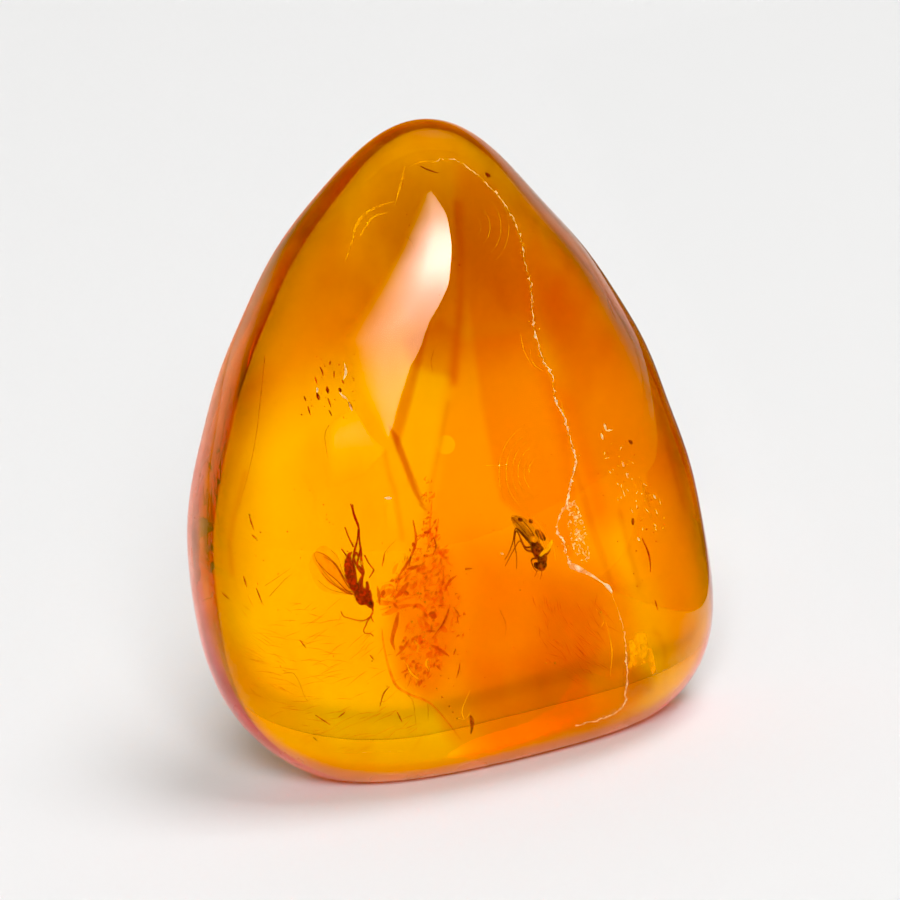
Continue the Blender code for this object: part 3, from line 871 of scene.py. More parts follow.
FAR_VEINS = (
    ((353, 589, 0.4), (346, 579, 0.6), (341.6, 568, 0.75), (337.6, 557, 0.85), (331, 550, 0.9)),
    ((353, 592, 0.4), (341, 588, 0.65), (328, 577, 0.8), (318, 563, 0.9), (314, 553, 0.9)),
    ((352, 593.4, 0.4), (340, 592, 0.65), (328, 588, 0.8), (318, 580, 0.9)))

near = film_finish("near_wing", (0.97, 0.76, 0.5, 1), (0.93, 0.6, 0.3, 1), 3000)
far = film_finish("far_wing", (0.99, 0.9, 0.7, 1), (0.97, 0.8, 0.5, 1), 2600)
piece("gnat_wing_near", [blade(WING_LEAD, WING_TRAIL, camber=-0.1)], near)
piece("gnat_wing_far", [blade(FAR_LEAD, FAR_TRAIL, camber=0.08)], far)
vein = skin_finish("wing_vein", (0.4, 0.03, 0.005, 1), (0.75, 0.16, 0.03, 1), 6000, clear=0.75)
faint_vein = skin_finish("far_wing_vein", (0.7, 0.16, 0.02, 1), (0.9, 0.3, 0.04, 1), 6000, clear=0.35)
piece("gnat_wing_veins", [limb(line, WING_VEIN_RADII, sides=6) for line in WING_VEINS], vein)
piece("gnat_far_veins", [limb(line, (0.02, 0.015, 0.01), sides=6) for line in FAR_VEINS], faint_vein)

# %% [markdown]
# ## The small fly
# The second insect is half hidden in a fold of the resin: an olive wing folded over the back, a dark thorax
# and head at the lower right, thin legs to the left, and a bright air bubble held on the wing.
# %% Fly
OLIVE_DARK, OLIVE_LIGHT = (0.1, 0.05, 0.01, 1), (0.55, 0.28, 0.05, 1)
FLY_ABDOMEN = ((512.2, 517.2, 0.15), (516, 521.5, 0.15), (522, 528.5, 0.15), (529, 537, 0.1),
               (535, 545, 0.1))
FLY_ABDOMEN_RADII = (0.07, 0.14, 0.2, 0.23, 0.2)
FLY_THORAX = ((532.5, 541, 0), (545.5, 563.5, 0))
FLY_BACK = ((535.6, 529.5, -0.15), (545.4, 540.6, -0.15))
FLY_HEAD = ((536.4, 562.4, 0), (545.2, 569.4, 0))
FLY_EYES = (((534.6, 562.5, -0.1), (539.4, 569, -0.1)), ((541.8, 561.4, 0.05), (546, 566.8, 0.05)))
FLY_SPOTS = (
    ((529.2, 519, -0.05), (532.6, 523, -0.05)), ((518, 518.4, 0), (522.4, 520.6, 0)),
    ((536, 540.6, -0.38), (540.6, 550, -0.38)), ((541.5, 552, -0.3), (545.5, 557.5, -0.3)))
FLY_WING_LEAD = ((536, 548, -0.2), (528.6, 543, -0.25), (520.6, 534, -0.25), (514.4, 527, -0.2),
                 (511.2, 520.6, -0.15), (510.6, 516.8, -0.1))
FLY_WING_TRAIL = ((541, 545, -0.2), (538.6, 535, -0.3), (533.6, 526, -0.3), (526.6, 519.4, -0.25),
                  (518.4, 515.6, -0.2), (512, 514.8, -0.1))
FLY_VEINS = (
    ((538, 546, -0.24), (529, 537, -0.3), (520, 526, -0.28), (512, 517, -0.14)),
    ((538, 544, -0.26), (532, 532, -0.33), (524, 522, -0.3), (515, 516, -0.2)),
    ((535, 546, -0.24), (525, 538, -0.28), (517, 529, -0.24)))
FLY_LEGS = (
    ((529, 541, 0.1), (521, 532, 0.15), (515.7, 528.6, 0.15), (512.9, 541.4, 0.1), (508.4, 554, 0),
     (504.6, 559.4, 0)),
    ((531, 547, 0.15), (524.3, 546.1, 0.2), (516.6, 530.6, 0.2), (514.6, 543, 0.2), (516.4, 555.7, 0.15),
     (516.6, 569, 0.1)),
    ((533, 552, 0.15), (526, 549.6, 0.25), (520, 541, 0.3), (513, 551, 0.3), (505, 566, 0.3)),
    ((537, 558, -0.1), (531.6, 560, -0.15), (533.6, 567.4, -0.2), (536.6, 571.6, -0.2)),
    ((543, 556, 0.1), (549, 552.6, 0.15), (551.4, 545, 0.2)))
FLY_LEG_RADII = (0.05, 0.042, 0.03, 0.024, 0.016)
FLY_FEELERS = (
    ((538, 568, 0), (536.4, 572.6, -0.05), (534.6, 577, -0.1)),
    ((541, 568.4, 0), (541.4, 573, -0.05), (540, 580, -0.1)))

fly_abdomen = ringed(FLY_ABDOMEN, FLY_ABDOMEN_RADII, 6)
fly_thorax = along_body(FLY_THORAX, (0.31, 0.32), rows=20, columns=28)
piece("fly_abdomen", [fly_abdomen], film_finish("fly_belly", (0.72, 0.66, 0.4, 1), (0.5, 0.42, 0.2, 1), 5200))
piece("fly_body", [fly_thorax, along_body(FLY_BACK, (0.17, 0.17)), along_body(FLY_HEAD, (0.25, 0.25))]
      + [along_body(knots, (0.11, 0.08)) for knots in FLY_SPOTS],
      skin_finish("fly_chitin", OLIVE_DARK, OLIVE_LIGHT, 4600), ("small_fly",))
piece("fly_eyes", [along_body(knots, (0.14, 0.1)) for knots in FLY_EYES],
      skin_finish("fly_eye", (0.02, 0.006, 0.002, 1), (0.12, 0.03, 0.006, 1), 24000, 0.2))
piece("fly_legs", [limb(knots, FLY_LEG_RADII, rings=6) for knots in FLY_LEGS]
      + [limb(knots, (0.02, 0.012)) for knots in FLY_FEELERS]
      + hairs_on(fly_thorax, 60, 0.16, HAIR_SEED + 30) + hairs_on(fly_abdomen, 40, 0.1, HAIR_SEED + 31),
      skin_finish("fly_leg", (0.16, 0.03, 0.006, 1), (0.45, 0.12, 0.02, 1), 6000))
fly_film = film_finish("fly_wing", (0.78, 0.8, 0.5, 1), (0.6, 0.6, 0.3, 1), 4200)
piece("fly_wing", [blade(FLY_WING_LEAD, FLY_WING_TRAIL, camber=-0.1)], fly_film)
piece("fly_wing_veins", [limb(line, (0.025, 0.02, 0.014), sides=6) for line in FLY_VEINS],
      skin_finish("fly_vein", OLIVE_DARK, (0.2, 0.1, 0.02, 1), 6000, clear=0.8))

# %% [markdown]
# ## Veil and bubbles
# Where the resin closed over the fly it folded, and golden streaks run along the fold, so each is a fine
# tube with a painted glow. Air came in with the insects: one bubble sits on the fly's wing and a small one on
# the gnat.
# %% Veil and bubbles
VEIL_START, VEIL_END = ((523, 510), (538, 518)), ((547, 556), (556, 561))
VEIL_BEND = ((536, 530), (551, 533))
VEIL_STREAKS, VEIL_STEPS, VEIL_SHORTEST = 13, 13, 4
VEIL_RADII = (0.004, 0.022, 0.004)
BUBBLE = ((531.2, 536.6, -0.75), (536.6, 541.8, -0.75))
GNAT_BUBBLE = ((359.9, 561.0, -0.45), (363.1, 564.8, -0.45))


def veil():
    """Streaks side by side beside the fly: each runs through one point on three short lines."""
    chance = np.random.default_rng(HAIR_SEED + 60)
    streaks = []
    for share in np.linspace(0, 1, VEIL_STREAKS) + chance.normal(0, 0.03, VEIL_STREAKS):
        knots = np.array([(1 - share) * np.array(a) + share * np.array(b)
                          for a, b in (VEIL_START, VEIL_BEND, VEIL_END)])
        path = smooth_path(knots, VEIL_STEPS)
        first, last = sorted(chance.integers(0, VEIL_STEPS, 2))
        last = min(max(last, first + VEIL_SHORTEST), VEIL_STEPS)
        first = max(0, last - max(VEIL_SHORTEST, last - first))
        part = path[first:last] + chance.normal(0, 0.25, (last - first, 2))
        offsets = np.full((len(part), 1), -0.5 + 0.3 * share)
        streaks.append(limb(np.concatenate([part, offsets], 1), VEIL_RADII, sides=5, rings=3))
    return streaks


def painted_glow_streak_finish():
    """Golden streaks in a fold of the resin, in two tones, with a painted glow."""
    finish = Finish("resin_streak_painted_glow", {"Roughness": 0.4, "Emission Color": (1, 0.62, 0.02, 1),
                                     "Emission Strength": 0.5})
    tones = finish.noise(3000).rise(0.4, 0.6)
    return finish.feed(Base_Color=finish.blend(tones, (1, 0.7, 0.1, 1), (1, 0.85, 0.4, 1)), Alpha=0.75)


piece("fly_veil", veil(), painted_glow_streak_finish())


def bubble_finish():
    """Air in amber: a pale mirror-like skin, in places see-through, with a faint painted glow."""
    finish = Finish("bubble_skin", {"Roughness": 0.06, "Metallic": 0.5, "Emission Strength": 0.25,
                                    "Emission Color": (1, 0.8, 0.8, 1)})
    cloud = finish.noise(6000, 2.0).rise(0.35, 0.65)
    return finish.feed(Base_Color=finish.blend(cloud, (1, 0.95, 0.95, 1), (0.9, 0.6, 0.6, 1)),
                       Alpha=cloud * 0.35 + 0.55)


piece("bubbles", [along_body(BUBBLE, (0.15, 0.15), rows=20, columns=28),
                  along_body(GNAT_BUBBLE, (0.08, 0.08), rows=16, columns=20)], bubble_finish())

# %% [markdown]
# ## The crack
# One old crack runs from the crown to the foot on the right, where a later flow never bonded. Seen edge on
# it is a ragged pale line, widest at a wedge below the small fly, with a frosted patch of tiny cavities.
# The line is a flat ribbon of uneven width just under the front face, and chips sit along it.
# %% Crack
CRACK = (
    (430, 163), (444, 159), (457, 161), (469, 169), (482, 179), (492, 189), (502, 200), (510, 213),
    (517, 227), (522, 242), (525, 262), (530, 283), (532, 299), (533, 317), (536, 336), (545, 363),
    (552, 375), (555, 399), (565, 418), (568, 432), (572, 446), (576, 463), (571, 480), (569, 492),
    (566, 505), (560, 515), (557, 531), (564, 541), (566, 553), (570, 563))
CRACK_LOWER = ((611, 592), (618, 611), (622, 623), (625, 638), (626, 656), (627, 669), (626, 692),
               (624, 705), (617, 711), (607, 717), (594, 721), (577, 726))
CRACK_DEPTH, CRACK_WIDTH = 0.25, 0.042
CRACK_WEDGE = ((569, 563), (572, 566), (580, 569.5), (590, 574.3), (598, 579.5), (603, 583), (608, 586.5),
               (612, 592.4))
WEDGE_WIDTHS = (0.07, 0.2, 0.16, 0.09, 0.05, 0.04, 0.13, 0.06)
FROST = ((566, 503), (576, 500), (583, 520), (588, 540), (591, 562), (582, 563), (572, 548), (568, 525))
RIPPLE_DEPTH, RIPPLE_RADII = 0.75, (0.004, 0.014, 0.004)
# centre, radii and the two end angles of each group of arcs
RIPPLES = (((471, 227), (10, 19, 30, 38), (-50, 48)), ((543, 472), (14, 19, 25, 31, 37, 44), (118, 232)))
# painted glow: pale split surfaces emit a little light of their own, for the light that open cracks send back
PAINTED_CRACK_GLOW = 0.45                                # scattered daylight that an open crack sends back
PEACH, PEACH_DEEP = (1.0, 0.7, 0.55, 1), (1.0, 0.42, 0.2, 1)
RAGGED_TAPER = (0, 0.3, 0.6, 1), (0.45, 0.7, 1, 1)            # place along the ribbon, share of its width
EDGE_POINTS, EDGE_BARE = 130, 40                # points along the crack; chips start after the bare ones
chance = np.random.default_rng(5)


def fracture_finish(name, clear, scale=2600):
    """Broken resin: pale where open, see-through where it still touches, in small patches; a painted glow."""
    finish = Finish(name, {"Roughness": 0.45, "IOR": 1.3, "Emission Color": PEACH,
                           "Emission Strength": PAINTED_CRACK_GLOW})
    open_patch = finish.noise(scale, 4.0).rise(0.38, 0.6)
    return finish.feed(Base_Color=finish.blend(open_patch, PEACH_DEEP, PEACH),
                       Alpha=open_patch * clear + clear * 0.25,
                       Normal=finish.bump(finish.noise(scale * 2, 2.0), 0.02 * MM))


def ragged(line, depth, width, steps=10, wander=1.5):
    """A flat ribbon along picture points, which wanders a little and swells and thins by chance.

    It is thinner at its start, by the shares in RAGGED_TAPER.
    """
    count = steps * (len(line) - 1) + 1
    path = smooth_path(line, count) + chance.normal(0, wander, (count, 2)) * 0.5
    taper = np.interp(np.linspace(0, 1, count), *RAGGED_TAPER)
    widths = width * MM * np.clip(chance.lognormal(0, 0.6, count), 0.3, 3) * taper
    where = under(path, depth + chance.normal(0, 0.02, count))
    return profile_along(where, widths, widths * 0.3, 6), True, True


def chips(centres, depth, low, high, flat=0.5):
    """Small crumbs at picture points, each an egg with chance radii between low and high millimetres."""
    places = under(centres, depth)
    return [egg(place, chance.uniform(low, high, 3) * MM * (1, 1, flat), rows=4, columns=6)
            for place in places]


def scattered(outline, count):
    """Chance picture points inside a closed outline."""
    outline = np.asarray(outline, float)
    spots = chance.uniform(outline.min(0), outline.max(0), (count * 6, 2))
    return spots[soft_inside(spots, outline, 0.5) > 0.5][:count]

# %% [markdown]
# The edge is the ribbon with chips along its lower part. The wedge is a broad flat sliver, and the frosted
# patch is some hundred small crumbs. Ripples are the arcs that a break leaves where it stopped and went on.
# %% Crack pieces
edge = [ragged(CRACK, CRACK_DEPTH, CRACK_WIDTH), ragged(CRACK_LOWER, CRACK_DEPTH, CRACK_WIDTH * 0.7)]
bumpy = smooth_path(CRACK, EDGE_POINTS)[EDGE_BARE:]
edge += chips(bumpy + chance.normal(0, 1.6, bumpy.shape), CRACK_DEPTH, 0.015, 0.05)
piece("crack_edge", edge, fracture_finish("crack_edge", 0.8))
piece("crack_wedge", [sliver(under(CRACK_WEDGE, CRACK_DEPTH), np.array(WEDGE_WIDTHS) * MM, rings=8)],
      fracture_finish("crack_wedge", 0.95, 1200))
frost = scattered(FROST, 320)
piece("frost", chips(frost, 0.3 + chance.uniform(0, 0.2, len(frost)), 0.016, 0.06),
      fracture_finish("frost", 0.8))


def arcs(centre, radii, span):
    """Arcs about a picture point: circle radius away, between two angles in degrees."""
    bows = []
    for radius in radii:
        bow = np.radians(np.linspace(*span, 14)) + chance.normal(0, 0.03)
        line = np.stack([centre[0] + radius * np.cos(bow), centre[1] - radius * np.sin(bow) * 1.15], -1)
        bows.append(tube(under(line, RIPPLE_DEPTH), np.array(RIPPLE_RADII) * MM, sides=5))
    return bows


piece("crack_ripples", [bow for ripple in RIPPLES for bow in arcs(*ripple)],
      fracture_finish("crack_ripple", 0.4))

# %% [markdown]
# ## Wood, bark and hairs
# The resin caught whatever fell on it: slivers of bark, plant hairs and dust. Each dark stick is a thin
# tapered tube, and each hair a longer, finer one. They lie at several depths.
# %% Sticks and hairs
STICKS = (
    ((384.3, 553.6), (383.4, 560), (382.1, 566.4)), ((449.3, 609.3), (443.6, 622.1), (432.1, 637.9)),
    ((460, 663.6), (459, 670), (456.4, 677.9)), ((470.7, 715), (473.6, 722), (470.7, 734.3)),
    ((420, 166), (429, 170), (438, 173)), ((330, 361), (330, 365)), ((320, 367), (322, 371), (323, 376)),
    ((334, 371), (334, 378)), ((342, 380), (344, 384)), ((315, 377), (317, 384)), ((327, 386), (328, 394)),
    ((328, 398), (331, 407)), ((329, 410), (332, 416)), ((304, 396), (306, 401)),
    ((308, 406), (310.4, 415)), ((249, 516), (251, 523), (254, 530)), ((252, 535), (256, 539)),
    ((243, 576), (246.6, 587)), ((256, 588), (262, 603)), ((222, 593), (229, 599)),
    ((465, 569.3), (472, 568.6)), ((389.3, 686.4), (383.6, 693.6), (380, 706.4)),
    ((642, 538), (649, 555), (651, 572)), ((655, 600), (658, 610)), ((693, 516), (698, 521)),
    ((606, 296), (610, 306), (616, 319)), ((433, 555), (436, 547), (434, 538)), ((411, 556), (409, 566)),
    ((453.6, 655), (456, 648)), ((397, 712), (402, 722)), ((315, 715), (330, 725)),
    ((345, 712), (338, 718)), ((313, 737), (318, 741)), ((300, 640), (306, 648)), ((370, 655), (374, 660)),
    ((487, 173), (488, 178)))
HAIRS = (
    ((329, 425), (325, 434), (325.4, 446), (327.4, 458)), ((407, 237), (412, 242), (415, 250)),
    ((426, 240), (431, 237), (436, 235)), ((284, 673), (293, 673), (299, 682), (306, 699), (313, 705)),
    ((407.9, 695), (413.6, 703.6), (416.4, 730.7)), ((427.9, 703.6), (428.4, 713), (427.9, 722)),
    ((265, 356), (257, 430), (249, 470), (239, 506)), ((265, 586), (278, 577), (291, 568)),
    ((270, 596), (284, 580), (292, 574)), ((434, 350), (431, 362), (433, 372)),
    ((384, 553), (390, 546), (396, 540)), ((623, 668), (622.6, 688), (622, 705)),
    ((640, 480), (648, 500), (652, 520)), ((500, 610), (506, 625), (504, 640)))
PALE_HAIRS = (
    ((401.4, 658.6), (407.9, 666.4), (408.6, 675), (406.4, 682)),
    ((457.9, 718), (465, 719.3), (470.7, 712)), ((487, 465), (498, 466), (508, 464)),
    ((530, 348), (533, 363), (543, 371)), ((596, 609), (604, 620), (596, 635)),
    ((332, 751), (350, 752.5), (370, 752), (402, 751)))
STICK_RADII, HAIR_RADII = (0.0204, 0.034, 0.0136), (0.013, 0.0104, 0.0039)
PALE_HAIR_RADII, PALE_HAIR_DEPTH = (0.0065, 0.013, 0.0065), 0.5
BARK_DEPTHS = (3.0, 7.0)


def threads(lines, depths, radii, sides=8):
    """Tubes along lines of picture points, each at its own depth in millimetres."""
    return [tube(under(knots, depth), np.array(radii) * MM, sides) for knots, depth in zip(lines, depths)]


sticks = threads(STICKS, chance.uniform(*BARK_DEPTHS, len(STICKS)), STICK_RADII)
hairs = threads(HAIRS, chance.uniform(*BARK_DEPTHS, len(HAIRS)), HAIR_RADII, 5)
bark = skin_finish("bark", (0.35, 0.025, 0.005, 1), (0.8, 0.14, 0.02, 1), 7000, 0.6)
fuzz = skin_finish("plant_hair", (0.3, 0.06, 0.01, 1), (0.75, 0.25, 0.04, 1), 7000, 0.6, 0.7)
piece("bark_sticks", sticks, bark)
piece("plant_hairs", hairs, fuzz)
piece("pale_hairs", threads(PALE_HAIRS, [PALE_HAIR_DEPTH] * len(PALE_HAIRS), PALE_HAIR_RADII, 5),
      fracture_finish("pale_hair", 0.8))

# %% [markdown]
# ## Flakes and dust
# Pale flakes are splits along the old flow surface, and red ones are scraps of bark. Brown specks are dust.
# They come in groups on the left shoulder and down the right flank, with a few stray ones, as the real
# scatter does. Gas bubbles are small bright balls, mostly beside the plant scraps.
# %% Flakes and dust
PALE_FLAKES = (
    ((344, 362), (346, 372), (343, 380)), ((317, 387), (317.4, 393)), ((339, 392), (344, 397), (348, 400)),
    ((347, 400), (350, 405), (352, 411)), ((604, 423), (606, 430)), ((601, 433), (603, 440)),
    ((622, 461), (624, 467)), ((626, 472), (628, 478)), ((653, 494), (656, 499)), ((637, 537), (640, 541)),
    ((384, 498), (392, 498)), ((500, 553), (504, 554)))
RED_FLAKES = (
    ((317, 393), (319, 400)), ((327, 387), (328, 393)), ((349, 402), (352, 409)), ((633, 518), (633, 525)),
    ((629, 440), (632, 444)), ((697, 517), (698, 522)), ((470, 716), (472, 726), (471, 734)),
    ((608, 300), (612, 310)), ((485, 173), (490, 177)), ((339, 388), (341, 392)))
# outline points of each group, then how many specks lie in it
SPECK_GROUPS = (
    ((300, 352), (356, 352), (356, 420), (300, 420), 34),
    ((595, 410), (625, 420), (670, 520), (640, 600), 30),
    ((380, 540), (470, 560), (470, 690), (385, 690), 80),
    ((230, 500), (340, 480), (400, 740), (260, 730), 34),
    ((470, 400), (620, 420), (650, 690), (450, 700), 40),
    ((340, 180), (440, 160), (500, 300), (350, 320), 16))
SPARKLES = (
    (417.9, 592.9), (420.7, 593.6), (425, 602), (417.9, 615), (424.3, 632), (425, 635.6), (423, 638),
    (417.9, 663.6), (420.7, 666.4), (427.9, 661.4), (429, 667), (417.9, 675), (398.6, 578.6),
    (393.6, 596.4), (421, 599), (424, 641), (416, 668), (428, 671), (436.4, 688.6), (442, 697),
    (449.3, 706.4), (453, 712), (457.1, 718.6), (460.7, 725), (546, 663), (555, 663), (372, 661),
    (249, 515), (257, 540), (390, 607), (430, 648), (412, 622), (440, 606), (433, 620), (520, 590),
    (572, 590), (601, 612))
TRAIL = ((592, 420), (612, 422), (668, 515), (662, 560), (632, 540), (606, 470))
TRAIL_CORE = ((596, 425), (612, 425), (664, 515), (650, 520))
FLAKE_WIDTH, SPLIT_WIDTH = 0.09 * MM, 0.04 * MM
PALE_DEPTH, TRAIL_DEPTH, RED_DEPTH, DUST_DEPTHS, GAS_DEPTH = 0.35, 0.4, 3.5, (2.5, 8.5), 4.5


def heading(lean, reach):
    """Steps on the picture by their angles in radians and their lengths."""
    return np.stack([np.cos(lean), np.sin(lean)], -1) * reach[:, None]


pale = [sliver(under(knots, PALE_DEPTH), np.array((0.3, 1, 0.4)) * FLAKE_WIDTH, rings=5)
        for knots in PALE_FLAKES]
red = [sliver(under(knots, RED_DEPTH), np.array((0.4, 1, 0.4)) * FLAKE_WIDTH, rings=5)
       for knots in RED_FLAKES]
specks = np.concatenate([scattered(outline, count) for *outline, count in SPECK_GROUPS])
trail = scattered(TRAIL, 30)
step = heading(chance.normal(math.radians(75), 0.6, len(trail)), chance.uniform(1, 4, len(trail)))
pale += [sliver(under(np.stack([spot - run, spot, spot + run]), TRAIL_DEPTH),
                np.array((0.2, 1, 0.3)) * SPLIT_WIDTH, rings=3) for spot, run in zip(trail, step)]
pale += chips(scattered(TRAIL_CORE, 30), TRAIL_DEPTH, 0.02, 0.05)
piece("pale_flakes", pale, fracture_finish("pale_flake", 0.8))
piece("red_flakes", red,
      skin_finish("red_flake", (0.35, 0.04, 0.01, 1), (0.75, 0.16, 0.03, 1), 5000, 0.5, 0.85))
piece("dust", chips(specks, chance.uniform(*DUST_DEPTHS, len(specks)), 0.012, 0.042, 1.0), bark)


def sparkle_finish():
    """Tiny gas bubbles that throw the light back: bright, smooth and slightly gold."""
    finish = Finish("gas_bubble", {"Metallic": 0.7, "Roughness": 0.15})
    tones = finish.noise(9000).rise(0.4, 0.6)
    return finish.feed(Base_Color=finish.blend(tones, (1, 0.8, 0.3, 1), (1, 0.95, 0.6, 1)))


sizes = chance.uniform(0.03, 0.065, len(SPARKLES)) * MM
piece("gas_bubbles", [egg(place, (size,) * 3, rows=8, columns=12)
                      for place, size in zip(under(SPARKLES, GAS_DEPTH), sizes)], sparkle_finish())

# %% [markdown]
# ## Plant scraps
# Beside the gnat lies a knot of torn plant tissue: thin curled scales, mostly see-through, red where they
# overlap. Each is a flattened sliver that filters the light, so that overlaps darken by themselves. The
# larger scales are drawn one by one, and chance ones fill the patches; every fourth is of a deeper red.
# %% Plant scraps
# picture points and half width in millimetres
SCALES = (
    (((393, 574), (395, 568), (398, 563)), 0.1),
    (((396.4, 582), (402, 577), (408, 571), (411.4, 556)), 0.09),
    (((379.3, 593), (383.6, 587), (389.3, 585), (394, 587)), 0.09),
    (((408.6, 582), (402, 591), (394, 599)), 0.14), (((380, 597), (387, 592), (395, 592)), 0.2),
    (((376.4, 600.7), (384, 603), (396.4, 603)), 0.15),
    (((382, 615), (390, 612), (400, 607), (412, 605)), 0.15),
    (((398.6, 612), (396, 624), (392, 640), (395, 650)), 0.12),
    (((412, 605), (421, 607), (428, 616)), 0.13), (((427, 592), (429, 600)), 0.15),
    (((440, 588), (442, 608)), 0.12), (((430, 612), (436, 618)), 0.18), (((419, 618), (421, 628)), 0.1),
    (((441, 626), (447, 632)), 0.16), (((419, 636), (422, 646)), 0.09),
    (((431, 645), (440, 650), (449, 656)), 0.1), (((428, 556), (440, 553), (448, 560)), 0.1),
    (((382, 629), (384, 646), (389, 668), (396, 685), (409, 694), (428, 702), (439, 712), (452, 728),
      (461, 740)), 0.07), (((450, 604), (446, 618), (438, 632), (430, 640)), 0.08),
    (((413, 520), (416, 540), (411, 556), (404, 570)), 0.07), (((432, 500), (430, 530), (434, 552)), 0.06),
    (((380, 610), (392, 606), (402, 600), (418, 596)), 0.06), (((424, 566), (422, 574)), 0.12),
    (((409, 640), (402, 650), (396, 656)), 0.07), (((438, 596), (432, 606)), 0.1))
FILM_DEPTH, LARGE_DEPTH = 5.2, 4.6
# outline points of each patch, then how many scales are tried in it
SCRAP_PATCHES = (
    ((376, 598), (390, 582), (402, 562), (414, 538), (421, 560), (410, 590), (396, 606), 80),
    ((412, 562), (422, 522), (432, 504), (438, 530), (447, 552), (453, 580), (444, 612), (428, 640),
     (414, 620), 210),
    ((408, 622), (430, 628), (446, 648), (438, 672), (424, 688), (408, 680), (398, 655), 110),
    ((428, 466), (436, 500), (428, 522), (420, 505), 16),
    ((446, 590), (470, 600), (462, 640), (450, 650), 20))
SCALE_LEAN, SCALE_REACH, SCALE_WIDTH = math.radians(-62), 2.6, 0.045

scales = [sliver(under(knots, LARGE_DEPTH + chance.uniform(-0.5, 0.5)),
                 np.array((0.35, 1, 0.8, 0.25)) * width * MM, 0.15, rings=6) for knots, width in SCALES]
for *outline, count in SCRAP_PATCHES:
    spots = scattered(outline, count)
    lean = SCALE_LEAN - chance.normal(0, 0.6, len(spots))
    step = heading(lean, chance.lognormal(math.log(SCALE_REACH), 0.6, len(spots)))
    bow = chance.normal(0, 1.1, step.shape)
    for spot, run, bend in zip(spots, step, bow):
        where = under(np.stack([spot - run, spot + bend, spot + run]), FILM_DEPTH + chance.uniform(-1.6, 1.6))
        width = chance.lognormal(math.log(SCALE_WIDTH), 0.5) * MM
        scales.append(sliver(where, np.array((0.2, 1, 0.2)) * width, 0.3, sides=6, rings=2))
deep = scales[3::4]
scales = [scale for number, scale in enumerate(scales) if number % 4 != 3]
piece("deep_scales", deep, film_finish("deep_scale", (0.75, 0.36, 0.1, 1), (0.6, 0.2, 0.05, 1), 3600))
piece("plant_scales", scales, film_finish("plant_scale", (0.95, 0.68, 0.4, 1), (0.85, 0.4, 0.2, 1), 3600))

# %% [markdown]
# ## Golden wisps
# Where the flow stretched, thin bright wisps stand in the resin, near the crown at the left and as patches
# low on the right. They are gold slivers with a faint painted glow. Over the foot the flow is brushed
# with fine curved streaks: each is a thin tube that only filters the light.
# %% Wisps
# picture points and half width in millimetres
WISPS = (
    (((352, 245), (355, 228), (365, 214), (380, 206), (395, 201)), 0.08),
    (((395, 205), (399, 190), (402, 178), (405, 166)), 0.055), (((360, 236), (372, 218), (388, 212)), 0.06),
    (((345, 262), (349, 250), (352, 240)), 0.03), (((408, 168), (420, 162), (436, 161)), 0.03),
    (((520, 330), (524, 350), (532, 366)), 0.03), (((560, 395), (563, 410), (566, 424)), 0.03),
    (((470, 690), (462, 712), (470, 728)), 0.025), (((606, 622), (612, 650), (610, 676)), 0.03))
PATCHES = (
    (((641, 633), (639, 650), (640, 665)), 0.6), (((650, 648), (651, 660), (654, 673)), 0.22),
    (((630, 640), (634, 656), (629, 669)), 0.24), (((540, 556), (548, 548), (553, 540)), 0.14),
    (((414, 640), (418, 646), (417, 652)), 0.06), (((428, 658), (426, 664), (429, 670)), 0.05),
    (((408, 668), (412, 674), (418, 679)), 0.05))
# outline, the point that the streaks curve about, and how many there are
BRUSHED = (
    (((236, 600), (330, 600), (385, 640), (400, 680), (440, 750), (330, 758), (280, 735), (246, 690)),
     (300, 560), 160),
    (((532, 596), (582, 606), (602, 596), (612, 630), (604, 672), (572, 684), (540, 656)), (640, 590), 70))
GOLD, GOLD_PALE = (1, 0.5, 0.01, 1), (1, 0.72, 0.15, 1)
STREAK_REACH, STREAK_DEPTHS, STREAK_RADII, STREAK_BOW = (4, 16), (4, 9), (0.0014, 0.014, 0.0014), 0.08


def painted_glow_wisp_finish(name, cover, strength):
    """Resin drawn thin: gold, see-through in streaks, with a faint painted glow."""
    finish = Finish(name, {"Roughness": 0.3, "IOR": 1.2, "Emission Color": GOLD,
                           "Emission Strength": strength})
    streak = finish.noise(1800, 4.0, (1, 1, 0.5)).rise(0.35, 0.65)
    return finish.feed(Base_Color=finish.blend(streak, GOLD, GOLD_PALE), Alpha=streak * cover + cover * 0.3)


def strips(table, depth, shape):
    """Slivers at one depth in millimetres; each row of the table is (picture points, half width)."""
    return [sliver(under(knots, depth), np.array(shape) * width * MM, 0.2, rings=6) for knots, width in table]


piece("gold_wisps", strips(WISPS, 1.6, (0.2, 1, 0.8, 0.2)), painted_glow_wisp_finish("gold_wisp", 0.5, 0.5))
piece("gold_patches", strips(PATCHES, 2.4, (0.5, 1, 0.6)), painted_glow_wisp_finish("gold_patch", 0.42, 0.5))
brushed = []
for outline, centre, count in BRUSHED:
    spots = scattered(outline, count)
    outward = np.arctan2(spots[:, 1] - centre[1], spots[:, 0] - centre[0])
    lean = outward + chance.normal(0, 0.25, len(spots)) + math.pi / 2
    step = heading(lean, chance.uniform(*STREAK_REACH, len(spots)))
    lines = [np.stack([spot - run, spot + run[::-1] * STREAK_BOW, spot + run])
             for spot, run in zip(spots, step)]
    brushed += threads(lines, chance.uniform(*STREAK_DEPTHS, len(spots)), STREAK_RADII, 4)
piece("brushed_streaks", brushed,
      film_finish("brushed", (0.86, 0.5, 0.2, 1), (0.95, 0.75, 0.4, 1), 2500))

